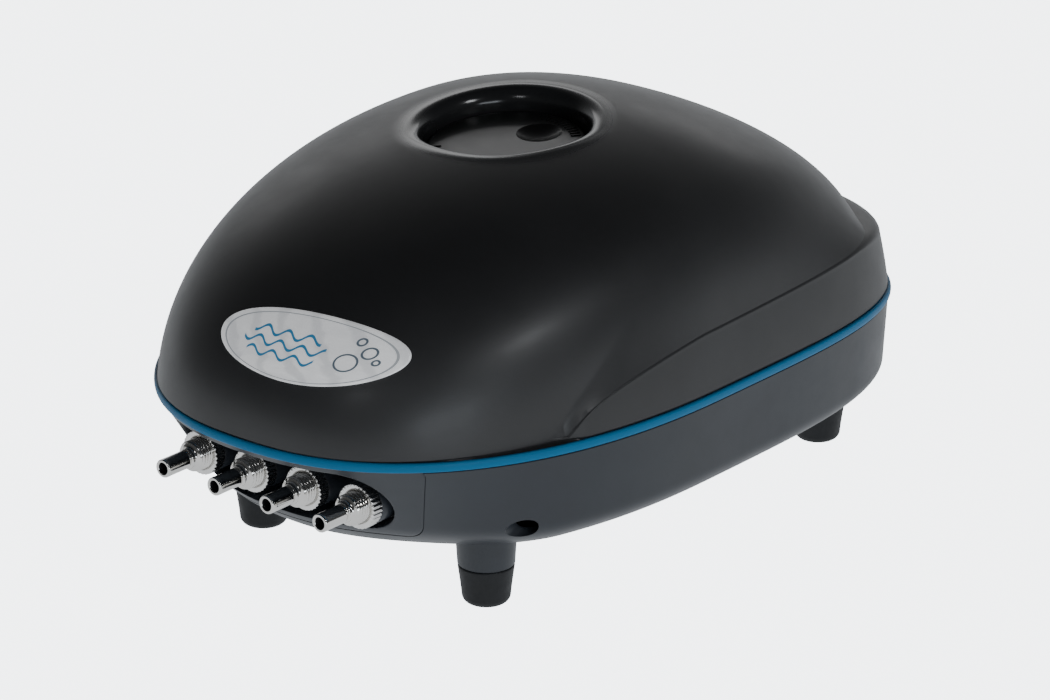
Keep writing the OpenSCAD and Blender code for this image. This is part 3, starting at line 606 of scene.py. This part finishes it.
def circuit_board():
    m = Material("circuit_board")
    mask = m.remap(m.voronoi(scale=230, feature="DISTANCE_TO_EDGE"), span=(0.03, 0.05), to=(1, 0))
    pads = m.remap(m.voronoi(scale=230), span=(0.10, 0.13), to=(1, 0))
    tint = m.mix(mask, (0.012, 0.085, 0.03), (0.025, 0.17, 0.06))
    tint = m.mix(pads, tint, (0.62, 0.55, 0.35))
    pad_metal = 0.9
    m.set(color=tint, metal=m.mul(pads, pad_metal), coat=0.3,
          rough=m.remap(m.noise(scale=300, detail=3), span=(0.3, 0.7), to=(0.25, 0.4)))
    m.bump(m.add(mask, pads), distance=0.00002)
    return m.material


def felt():
    m = Material("felt")
    fibres = m.noise(scale=900, detail=6, rough=0.8, stretch=(1, 1, 1), distortion=2.0)
    tint = m.mix(m.remap(fibres, span=(0.3, 0.7)), (0.42, 0.40, 0.35), (0.78, 0.76, 0.70))
    m.set(color=tint, rough=0.95, sheen=0.4, spec=0.1)
    m.bump(fibres, distance=0.00035)
    return m.material


def hose_pvc():
    m = Material("hose_pvc")
    tint = m.mix(m.noise(scale=70), (0.55, 0.60, 0.60), (0.68, 0.72, 0.71))
    m.set(color=tint, rough=m.remap(m.noise(scale=200), span=(0.3, 0.7), to=(0.12, 0.25)),
          trans=0.45, spec=0.5)
    m.bump(m.noise(scale=160, detail=3), distance=0.00002)
    return m.material


MATERIALS = {
    "shell": shell_plastic(),
    "base": plastic("base_slate", (0.026, 0.031, 0.039), rough=0.40, grain=2400,
                    height=0.000007, vary=0.05, mottle=0.10, coat=0.05),
    "trim": trim_plastic(),
    "badge": badge_foil(),
    "nickel": nickel("nickel", (0.80, 0.785, 0.755), rough=(0.07, 0.15), turned=True),
    "foot": rubber("foot_rubber", (0.0085, 0.0098, 0.0115), rough=0.5, grain=1800,
                   height=0.000008),
    "rubber": rubber("seal_rubber", (0.02, 0.02, 0.022)),
    "steel": steel("zinc_steel", (0.58, 0.59, 0.62), rough=0.32),
    "nylon": plastic("natural_nylon", (0.66, 0.635, 0.55), rough=0.42, grain=1800,
                     height=0.000008, vary=0.08, mottle=0.06),
    "board": circuit_board(),
    "capacitor": plastic("capacitor_red", (0.36, 0.035, 0.02), rough=0.25, grain=900,
                         height=0.00002, vary=0.06, mottle=0.1, coat=0.4),
    "heatsink": steel("heatsink_aluminium", (0.72, 0.73, 0.75), rough=0.34, stretch=(1, 1, 6)),
    "potentiometer": steel("potentiometer_can", (0.22, 0.23, 0.25), rough=0.3,
                           stretch=(5, 5, 1)),
    "lamination": laminations(),
    "winding": copper_winding(),
    "spacer": steel("brass_spacer", (0.72, 0.52, 0.20), rough=0.24, stretch=(1, 1, 8)),
    "arm": steel("arm_steel", (0.40, 0.42, 0.45), rough=0.33, stretch=(1, 6, 1)),
    "magnet": plastic("ferrite", (0.055, 0.055, 0.06), rough=0.6, grain=1100,
                      height=0.00002, vary=0.1, mottle=0.25),
    "flap": rubber("flap_rubber", (0.045, 0.045, 0.05), rough=0.55),
    "hose": hose_pvc(),
    "felt": felt(),
    "cord": plastic("cord_pvc", (0.012, 0.012, 0.0125), rough=0.38, grain=1500,
                    height=0.00001, vary=0.06, mottle=0.15),
    # painted shade: darkened steel lines the outlet bores to stand for the shadow inside the holes
    "bore": steel("bore_painted_shade", (0.16, 0.16, 0.17), rough=0.45),
    "nut": nickel("nickel_nut", (0.86, 0.85, 0.83), rough=(0.16, 0.26), turned=False),
    "dial": plastic("dial_black", (0.0135, 0.0135, 0.0138), rough=0.32, grain=2300,
                    height=0.000007, vary=0.05, mottle=0.12, coat=0.15),
}

slot_of = {part["node"]: part["material_slot"] for part in frame["record"]["subparts"]}
for name, node in frame["nodes"].items():
    node.data.materials.clear()
    node.data.materials.append(MATERIALS[slot_of[name]])


# ---------------------------------------------------------------- cover
def dome_height(x, y):
    """height of the dome along the dial axis, above the dial's plane, by bisection"""
    below, above = np.full(x.shape, -60.0), np.full(x.shape, 14.0)
    for _ in range(46):
        middle = (below + above) / 2
        inside = dome_value(*np.moveaxis(from_dial(points(x, y, middle)), -1, 0)) < 1
        below = np.where(inside, middle, below)
        above = np.where(inside, above, middle)
    return (below + above) / 2


def softmin(first, second, width):
    t = np.clip(0.5 + 0.5 * (second - first) / width, 0, 1)
    return second + (first - second) * t - width * t * (1 - t)


def skirt_rows():
    """rings from the trim up the skirt, over its lip and up the dome"""
    skirt_foot = 1.75
    top = np.maximum(2.1, skirt_top(ANGLES))
    plan_y = oval(ANGLES, 0, 0)[..., 1]
    on_skirt = smooth(-71.5, -64, plan_y)
    radius = lip_radius(plan_y) * (0.45 + 0.55 * smooth(SKIRT_Y, -50, plan_y))
    rows = [oval(ANGLES, RIM_INSET, Z_HI), oval(ANGLES, 0.75, Z_HI)]
    count = steps(18)
    for i in range(count + 1):
        z = skirt_foot + (top - skirt_foot) * (i / count)
        row = mix(dome(ANGLES, z / RISE), oval(ANGLES, lean(z), TRIM_Z + z), on_skirt)
        if i == 0:
            # small chamfer that makes the dark reveal above the trim
            reveal = row.copy()
            reveal[:, 2] = Z_HI + 0.42
            rows.append(mix(reveal, rows[0], 0.06))
        rows.append(row)
    # above the skirt, the dome starts at the skirt's top edge and fades back to its own shape
    amount = smooth(-72, -66, plan_y) * (1 - smooth(64, 80, plan_y))
    fade = 4 + 14 * smooth(SKIRT_Y, -50, plan_y)
    offset = oval(ANGLES, lean(top), 0)[:, :2] - dome(ANGLES, top / RISE)[:, :2]
    offset *= amount[:, None]

    def faded_dome(level):
        row = dome(ANGLES, level)
        left = np.clip(1 - np.maximum(0, level * RISE - top) / fade, 0, 1) ** 2.2
        row[:, :2] += offset * left[:, None]
        return row

    count = steps(10)
    for i in range(1, count + 1):
        t = i / count
        z = top + radius * np.sin(np.pi / 2 * t)
        inner = faded_dome(z / RISE)
        inset = lean(top) + radius * (1 - np.cos(np.pi / 2 * t))
        lip = oval(ANGLES, inset, TRIM_Z + z)
        rows.append(mix(inner, mix(lip, inner, t * t), on_skirt))
    start, end = np.arcsin((top + radius) / RISE), math.asin(0.85)
    count = steps(44)
    for i in range(1, count + 1):
        rows.append(faded_dome(np.sin(start + (end - start) * i / count)))
    return rows


def dial_rows(last_row):
    """rings from the dome's last one in to the dial well and down to its floor"""
    blend_r, lip_top = 30.0, 6.2
    ring = last_row - DIAL_C
    ring_x, ring_y = ring[:, 0], ring @ DIAL_Y
    ring_radius, turn = np.hypot(ring_x, ring_y), np.arctan2(ring_y, ring_x)
    # the rolled lip is tighter near the front
    near = smooth(0.15, 0.95, -np.sin(turn - math.radians(35)))
    lip = 4.8 - 2.9 * near

    def dome_row(radius, limit=None):
        x, y = radius * np.cos(turn), radius * np.sin(turn)
        z = dome_height(x, y)
        if limit is not None:
            z = softmin(z, limit, 0.6 + 1.2 * (1 - near))
        return from_dial(points(x, y, z))

    rows = []
    count = steps(26)
    for i in range(1, count + 1):
        rows.append(dome_row(ring_radius + (blend_r - ring_radius) * i / count))
    count = steps(14)
    for i in range(1, count + 1):
        radius = blend_r + (WELL_R + lip - blend_r) * i / count
        rows.append(dome_row(radius, lip_top + 0.194 * np.maximum(radius - WELL_R - lip, 0)))
    for angle in np.radians(np.linspace(88, 3, steps(30))):
        rows.append(dome_row(WELL_R + lip * (1 - np.cos(angle)),
                             lip_top - lip * (1 - np.sin(angle))))
    # well wall, floor and shaft hole: radius, height on the dial axis
    for radius, z in ((WELL_R, 1.2), (WELL_R, -1.5), (WELL_R, -4.5), (WELL_R, -8.0),
                      (21.45, -8.7), (20.75, -9.0), (14, -9.0), (8, -9.0), (3.6, -9.0),
                      (3.6, -11.2)):
        rows.append(from_dial(points(radius * np.cos(turn), radius * np.sin(turn), z)))
    return rows


def build_cover():
    rows = skirt_rows()
    rows += dial_rows(rows[-1])
    add_housing("cover_skin", surf(np.array(rows), False, True), "shell", "upper_housing", 40)


# ---------------------------------------------------------------- trim band
def build_trim():
    # inset and z of the flat lower and upper sides; a bulged face lies between
    below = ((RIM_INSET, Z_LO), (0.5, Z_LO), (0.25, Z_LO + 0.05))
    above = ((0.25, Z_HI - 0.05), (0.5, Z_HI), (RIM_INSET, Z_HI))
    face = []
    for i in range(15):
        angle = math.pi * i / 14
        face.append((0.12 - 0.72 * math.sin(angle) ** 0.6, TRIM_Z - 1.3 * math.cos(angle)))
    rows = [oval(ANGLES, inset, z) for inset, z in (*below, *face, *above)]
    add_housing("trim_band_fine", surf(np.array(rows), True, True), "trim", "trim_band")


# ---------------------------------------------------------------- lower housing
def panel_corner(gap):
    """corner radius and the angle where the sloping side meets it, grown by gap"""
    radius = PANEL_CORNER_R + gap
    dx = PANEL_SHOULDER_X + gap - PANEL_CORNER_X
    dz = PANEL_SHOULDER_Z - PANEL_CORNER_Z
    return radius, math.atan2(dz, dx) - math.acos(radius / math.hypot(dx, dz))


def panel_outline(gap):
    """(x, z) outline of the front panel, grown by gap and run up past the rim"""
    radius, start = panel_corner(gap)
    side = [(PANEL_SHOULDER_X + gap, 60.0), (PANEL_SHOULDER_X + gap, PANEL_SHOULDER_Z)]
    for i in range(17):
        angle = start + (-math.pi / 2 - start) * i / 16
        side.append((PANEL_CORNER_X + radius * math.cos(angle),
                     PANEL_CORNER_Z + radius * math.sin(angle)))
    return side + [(-x, z) for x, z in side[::-1]]


def port_place(verts):
    """right of the panel, pointing forward and 15 degrees down"""
    cosine, sine = math.cos(math.radians(15)), math.sin(math.radians(15))
    return points(58.3 + verts[:, 0], -80 - cosine * verts[:, 2] + sine * verts[:, 1],
                  28.3 - sine * verts[:, 2] - cosine * verts[:, 1])


def build_base():
    wall, top, edge_r = 2.8, Z_LO - 0.75, 0.7
    # the inside climbs from the floor to the rim, the outside comes down again
    rows = [low(ANGLES, BASE_Z + 3, 4.8), low(ANGLES, BASE_Z + 4.5, wall)]
    rows += [low(ANGLES, z, wall) for z in np.linspace(BASE_Z + 9, Z_LO - 2, 6)]
    rows += [oval(ANGLES, RIM_INSET, Z_LO), oval(ANGLES, 0.7, Z_LO),
             low(ANGLES, Z_LO - 0.42, 0.4), low(ANGLES, top)]
    count = steps(40)
    for i in range(1, count + 1):
        rows.append(low(ANGLES, top - (top - BASE_Z - edge_r) * math.sin(math.pi / 2 * i / count)))
    # rounded lower edge
    edge, inset = low(ANGLES, BASE_Z + edge_r), low(ANGLES, BASE_Z, 2.2)
    for i in range(1, 5):
        angle = math.pi / 2 * i / 4
        row = mix(edge, inset, 1 - math.cos(angle))
        row[:, 2] = BASE_Z + edge_r * (1 - math.sin(angle))
        rows.append(row)
    verts, faces = surf(np.array(rows), False, True)
    # fans close the floor, inside and underneath
    hub, count = len(verts), len(ANGLES)
    last = hub - count
    verts = np.vstack([verts, (0, OVAL_Y, BASE_Z + 3), (0, OVAL_Y, BASE_Z)])
    for i in range(count):
        after = (i + 1) % count
        faces += [(hub, after, i), (hub + 1, last + i, last + after)]
    base = add_housing("base_skin", (verts, faces), "base", "lower_housing", 35)
    cut(base, prism(panel_outline(0.16), -130, -80),
        lathe(tube(0.0, 2.8, -11.0, 29.0), 64, port_place),
        box(-23, 23, 54, 72, 10, BASE_Z + 11),
        *[lathe(tube(0, FOOT_HOLE_R, 15, 30), 32, shifted(x, y)) for x, y in FEET])


def build_legs():
    # radius, z
    leg = [(4.95, 3.6), (4.95, 10.86), (7.25, 10.86), (7.5, 11.1), (7.98, 19.0), (8.1, 19.7),
           (8.2, 20.4), (8.3, 21.2), (8.4, 24.2), (0.5, 24.2)]
    pillar = tube(FOOT_HOLE_R, 5.0, 23.6, Z_HI - 0.05)
    parts = []
    for x, y in FEET:
        parts += [lathe(leg, 72, shifted(x, y)), lathe(pillar, 32, shifted(x, y))]
    # air filter well and cord gland, seen only through the openings
    parts.append(box(-25, 25, 52, 74, BASE_Z + 12, BASE_Z + 13))
    parts.append(lathe(tube(4.6, 8, 78, 87.5), 48,
                       lambda verts: points(verts[:, 0], verts[:, 2], 36 + verts[:, 1])))
    add_housing("base_legs", join(parts), "base", angle=35)


# ---------------------------------------------------------------- front panel
FRONT_ANGLES = np.linspace(-math.radians(89.9), math.radians(89.9), 6001)


def base_front_y(x, z):
    outline = low(FRONT_ANGLES, z)
    return np.interp(x, outline[:, 0], outline[:, 1])


def panel_half_width(z):
    radius, angle = panel_corner(0)
    side_x = PANEL_CORNER_X + radius * math.cos(angle)
    side_z = PANEL_CORNER_Z + radius * math.sin(angle)
    if z >= PANEL_SHOULDER_Z:
        return PANEL_SHOULDER_X
    if z >= side_z:
        slope = (PANEL_SHOULDER_X - side_x) / (PANEL_SHOULDER_Z - side_z)
        return side_x + slope * (z - side_z)
    return PANEL_CORNER_X + math.sqrt(max(0, radius ** 2 - (z - PANEL_CORNER_Z) ** 2))


def build_panel():
    seam = 0.3           # how far the edges turn in
    seam_width = 0.35
    recess_y = -95.0
    recess_half, recess_z, recess_r = 25.6, 36.6, 9.4    # stadium-shaped recess
    bottom = PANEL_CORNER_Z - PANEL_CORNER_R
    curve = np.linspace(0, np.pi / 2, steps(30))
    levels = np.concatenate([bottom + PANEL_CORNER_R * (1 - np.cos(curve)),
                             np.linspace(PANEL_CORNER_Z, Z_LO - 0.45, steps(96))[1:]])
    rows = []
    for z in levels:
        half = panel_half_width(z)
        x = np.linspace(-half, half, steps(340))
        y = base_front_y(x, z)
        beyond = np.maximum(np.abs(x) - recess_half, 0)
        distance = np.hypot(beyond, z - recess_z) - recess_r
        soft = 0.55 + 1.1 * smooth(26.6, 34, np.abs(x))
        depth = smooth(0, 1, (0.35 * soft - distance) / (1.35 * soft))
        y = y + (np.maximum(recess_y, y) - y) * depth
        edge = np.clip((half - np.abs(x)) / seam_width, 0, 1)
        y = y + seam * (1 - np.sqrt(1 - (1 - edge) ** 2))
        y = y + seam * (1 - min(1, (z - levels[0]) / seam_width)) ** 2
        rows.append(points(x, y, z))
    grid = np.array(rows)
    # side returns into the seam
    rim = np.concatenate([grid[0, ::-1], grid[:, 0], grid[-1], grid[::-1, -1]])
    parts = [surf(grid), surf(np.array([rim, rim + (0, 4.0, 0)]), False, True)]
    # lock-nut seat: radius, distance forward
    seat = [(4.3, 94.4), (6.15, 94.4), (5.9, 95.4), (5.9, 103.6), (5.7, 103.9), (4.3, 103.9),
            (4.3, 94.4)]
    parts += [lathe(seat, 64, at_outlet(x)) for x in OUTLET_X]
    add_housing("outlet_panel_skin", join(parts), "base", "outlet_faceplate")


# ---------------------------------------------------------------- badge
def build_badge():
    turn = ring_angles(160)
    # fraction of the badge's radius, height above the dome
    rings = [(size, 0.62) for size in np.linspace(0.001, 0.97, 26)]
    rings += [(0.985, 0.6), (0.995, 0.53), (1, 0.38), (1, 0.02)]
    rows = []
    for size, lift in rings:
        x = BADGE_X + BADGE_HALF_W * size * np.cos(turn)
        z = BADGE_Z + BADGE_HALF_H * size * np.sin(turn)
        rows.append(points(x, dome_front_y(x, z, lift), z))
    add_housing("badge_foil_fine", surf(np.array(rows), False, True), "badge", "badge_plate", 60)


# ---------------------------------------------------------------- outlets
# Profiles are radius, distance forward of y = 0.
TAIL = [(BORE_R, 120.8), (1.66, 120.93), (1.78, 121.0), (2.22, 121.0), (2.38, 120.92),
        (2.45, 120.72), (2.46, 120.4), (2.46, 119.7), (2.45, 119.55), (2.43, 119.2),
        (2.43, 113.75), (2.45, 113.5), (2.45, 113.3), (2.28, 113.1), (2.16, 112.95),
        (2.16, 112.5), (2.3, 112.38), (2.6, 112.3), (2.66, 112.15), (2.66, 111.95),
        (2.7, 111.7), (2.85, 111.4), (3.15, 111.15), (3.55, 111.0), (3.85, 110.9)]
SLEEVE = [(3.85, 106.9), (4.2, 106.6), (4.2, 92.3), (3.85, 92), (3.85, 88.6), (3.5, 88),
          (BORE_R, 88)]
# third column: depth of the knurling, 0 to 1
NUT = [(4.26, 103.9, 0), (5.8, 103.9, 0), (6.0, 104.15, 0.9), (6.0, 104.5, 1), (6.0, 105.6, 1),
       (6.0, 106.8, 1), (5.99, 107.05, 0.9), (5.93, 107.22, 0.6), (5.8, 107.3, 0),
       (5.0, 107.3, 0), (4.5, 107.28, 0), (4.26, 107.0, 0)]


def outlet_thread(place):
    """helical thread on the barrel, fading out at its front end"""
    pitch, front = 0.95, 110.9
    forward, turn = np.meshgrid(np.linspace(front, 106.9, 70), ring_angles(96), indexing="ij")
    phase = (forward / pitch + turn / (2 * np.pi)) % 1.0
    ridge = np.clip((1 - np.abs(2 * phase - 1)) * 1.5 - 0.25, 0, 1)
    fade = np.clip((front - forward) / 0.5, 0, 1)
    radius = 3.72 + 0.48 * ridge * fade + 0.13 * (1 - fade)
    verts, faces = surf(points(radius * np.cos(turn), radius * np.sin(turn), forward), False, True)
    return place(verts), faces


def build_outlet(number, x):
    place = at_outlet(x)
    parts = [lathe(TAIL, 96, place), outlet_thread(place), lathe(SLEEVE, 48, place)]
    add_housing(f"outlet_fitting_{number}", join(parts), "nickel",
                f"outlet_nipple_{number}", 45)
    # dark lining for the bore: painted shade inside the hole
    bore = lathe([(BORE_R, 88), (BORE_R, 120.8)], 64, place)
    add_housing(f"outlet_bore_{number}", bore, "bore", angle=45)


def build_nuts():
    ridges = 30
    turn = ring_angles(ridges * 8)
    knurl = np.clip((0.5 + 0.5 * np.cos(turn * ridges)) * 1.5 - 0.1, 0, 1)
    parts = []
    for x in OUTLET_X:
        rows = []
        for radius, forward, depth in NUT:
            ring = radius - 0.3 * depth * (1 - knurl)
            rows.append(points(x + ring * np.cos(turn), -forward,
                               OUTLET_Z + ring * np.sin(turn)))
        parts.append(surf(np.array(rows), False, True))
    add_housing("outlet_nuts_fine", join(parts), "nut", "outlet_lock_nuts")


# ---------------------------------------------------------------- rubber boots
def build_boot(name, x, y):
    toe = [math.radians(-80 + 8 * i) for i in range(11)]
    # radius, z: round the sole, up the flared side and back down inside
    profile = [(0.02, 0.35), (3.2, 0.3), (3.6, 0.02), (4.1, 0.0)]
    profile += [(4.1 + 2.3 * math.cos(a), 2.3 + 2.3 * math.sin(a)) for a in toe]
    profile += [(6.62, 4.4), (7.05, 7.7), (7.38, 10.1), (7.4, 10.45), (7.28, 10.7),
                (7.05, 10.8), (5.1, 10.8), (5.05, 3.4), (0.02, 3.4)]
    add_housing(name + "_fine", lathe(profile, 96, shifted(x, y)), "foot", name)


# ---------------------------------------------------------------- flow dial
def read_points(mesh):
    flat = np.zeros(len(mesh.vertices) * 3)
    mesh.vertices.foreach_get("co", flat)
    return flat.reshape(-1, 3) / MM


def add_dial_marks(mesh):
    """raised radial marks: a fan beside the dimple, and a shortening scale"""
    outer = 19.9
    marks = [(-25 + i * 5, 17.0) for i in range(11)]
    marks += [(150 + i * 10, 17.0 + i * 0.25) for i in range(7)]
    edit = bmesh.new()
    edit.from_mesh(mesh)
    for degrees, inner in marks:
        angle = DIMPLE_ANGLE + math.radians(degrees)
        verts, faces = box(inner, outer, -0.22, 0.22, -0.1, 0.32)
        # narrow the top
        top = verts[:, 2] > 0
        verts[top, 1] *= 0.55
        verts[top, 0] += np.where(verts[top, 0] > (inner + outer) / 2, -0.15, 0.15)
        x, y, z = verts.T
        cosine, sine = math.cos(angle), math.sin(angle)
        turned = points(x * cosine - y * sine, x * sine + y * cosine, z) * MM
        corners = [edit.verts.new(corner) for corner in turned]
        for face in faces:
            edit.faces.new([corners[i] for i in face])
    bmesh.ops.recalc_face_normals(edit, faces=edit.faces)
    edit.to_mesh(mesh)
    edit.free()


def build_dial():
    # radius, height on the dial axis
    profile = [(0.0, -6.3), (6.2, -6.3), (6.2, -4.0), (20.4, -4.0), (21.0, -3.4), (21.0, -0.55),
               (20.93, -0.3), (20.78, -0.12), (20.55, 0.0), (20.0, 0.0), (0.0, 0.0)]
    dial = make_object("dial_fine", lathe(profile, 180), "dial", 35)
    # finger dimple, cut by a ball
    ball_r, ball_off, ball_z = 11.9, 10.2, 10.2
    ball = [(ball_r * math.sin(a), -ball_r * math.cos(a)) for a in np.linspace(0.0, np.pi, 90)]
    centre = (ball_off * math.cos(DIMPLE_ANGLE), ball_off * math.sin(DIMPLE_ANGLE), ball_z)
    cut(dial, lathe(ball, 160, lambda verts: verts + np.array(centre)))
    mesh = dial.data
    add_dial_marks(mesh)
    mesh.vertices.foreach_set("co", (from_dial(read_points(mesh)) * MM).reshape(-1))
    mesh.update()
    shade_smooth(mesh, 30)
    register(dial, "dial", "control_dial")


build_cover()
build_trim()
build_base()
build_legs()
build_panel()
build_badge()
for i, x in enumerate(OUTLET_X):
    build_outlet(i + 1, x)
build_nuts()
for i, (x, y) in enumerate(FEET):
    build_boot(f"foot_boot_{('front', 'rear')[i // 2]}_{('left', 'right')[i % 2]}", x, y)
build_dial()

# ---------------------------------------------------------------- stage, in metres
CAMERA_AZIMUTH = math.radians(39.9416)    # from -Y towards +X
CAMERA_ELEVATION = math.radians(21.6293)
LIGHT_TARGET = Vector((0, -0.01, 0.06))


def direction(azimuth, elevation):
    return Vector((math.sin(azimuth) * math.cos(elevation),
                   -math.cos(azimuth) * math.cos(elevation), math.sin(elevation)))


def build_floor():
    bpy.ops.mesh.primitive_plane_add(size=12, location=(0, 0, 0))
    floor = bpy.context.object
    floor.name = "stage_floor"
    m = Material("stage_floor")
    m.set(color=m.mix(m.noise(scale=3, detail=3), (0.87, 0.87, 0.875), (0.89, 0.89, 0.895)),
          rough=0.7, spec=0.1, glow=(0.93, 0.965, 1.0))
    # brighter where the camera sees it directly
    seen = m.node("ShaderNodeLightPath").outputs["Is Camera Ray"]
    m.set(glow_strength=m.remap(seen, span=(0, 1), to=(0.75, 5.0)))
    floor.data.materials.append(m.material)


def build_camera():
    back = direction(CAMERA_AZIMUTH, CAMERA_ELEVATION)
    right = Vector((math.cos(CAMERA_AZIMUTH), math.sin(CAMERA_AZIMUTH), 0))
    lens = bpy.data.cameras.new("cam")
    camera = bpy.data.objects.new("cam", lens)
    bpy.context.scene.collection.objects.link(camera)
    lens.lens = 159.43
    lens.sensor_width = 36
    lens.clip_start = 0.05
    lens.clip_end = 50
    turn = Matrix((right, back.cross(right), back)).transposed().to_4x4()
    camera.matrix_world = Matrix.Translation(Vector((0.74545, -0.89938, 0.50084))) @ turn
    bpy.context.scene.camera = camera


def area(name, azimuth, elevation, distance, size, power, color=(1, 1, 1)):
    """area light facing the pump; degrees, azimuth from the camera's own"""
    away = direction(CAMERA_AZIMUTH + math.radians(azimuth), math.radians(elevation))
    light = bpy.data.lights.new(name, "AREA")
    light.shape = "RECTANGLE"
    light.size, light.size_y = size
    light.energy = power
    light.color = color
    lamp = bpy.data.objects.new(name, light)
    lamp.location = LIGHT_TARGET + away * distance
    lamp.rotation_euler = away.to_track_quat("Z", "Y").to_euler()
    bpy.context.scene.collection.objects.link(lamp)


def build_world():
    world = bpy.data.worlds.new("studio")
    bpy.context.scene.world = world
    world.use_nodes = True
    nodes = Nodes(world.node_tree)
    sky = nodes.node("ShaderNodeTexCoord").outputs["Generated"]
    behind = (-math.sin(CAMERA_AZIMUTH), math.cos(CAMERA_AZIMUTH), 0.0)
    facing = nodes.node("ShaderNodeVectorMath", {0: sky, 1: behind}, operation="DOT_PRODUCT")
    # brightest low down behind the object, almost black overhead
    glow = nodes.remap(facing.outputs["Value"], span=(0.25, 0.95), to=(0.07, 0.66),
                       kind="SMOOTHSTEP")
    height = nodes.node("ShaderNodeSeparateXYZ", {0: sky}).outputs[2]
    falloff = nodes.remap(height, span=(0.05, 0.75), to=(1.0, 0.12), kind="SMOOTHSTEP")
    strength = nodes.mul(glow, falloff)
    # plain and pale where the camera sees it directly
    seen = nodes.node("ShaderNodeLightPath").outputs["Is Camera Ray"]
    seen_strength = 5.3
    choice = nodes.node("ShaderNodeMix", {0: seen, 2: strength, 3: seen_strength})
    background = world.node_tree.nodes["Background"]
    nodes.feed(background.inputs["Strength"], choice.outputs[0])
    nodes.feed(background.inputs["Color"], (0.95, 0.975, 1.0))


build_floor()
build_camera()
area("key_back", azimuth=180, elevation=22, distance=2.4, size=(2.6, 0.5), power=5)
area("glow_low", azimuth=20, elevation=6, distance=1.5, size=(0.7, 0.25), power=3.0,
     color=(0.86, 0.93, 1.0))
area("spot_right", azimuth=46, elevation=34, distance=1.6, size=(0.30, 0.22), power=3.4,
     color=(0.95, 0.97, 1.0))
area("spot_left", azimuth=-24, elevation=30, distance=1.6, size=(0.26, 0.2), power=0.9,
     color=(0.95, 0.97, 1.0))
build_world()
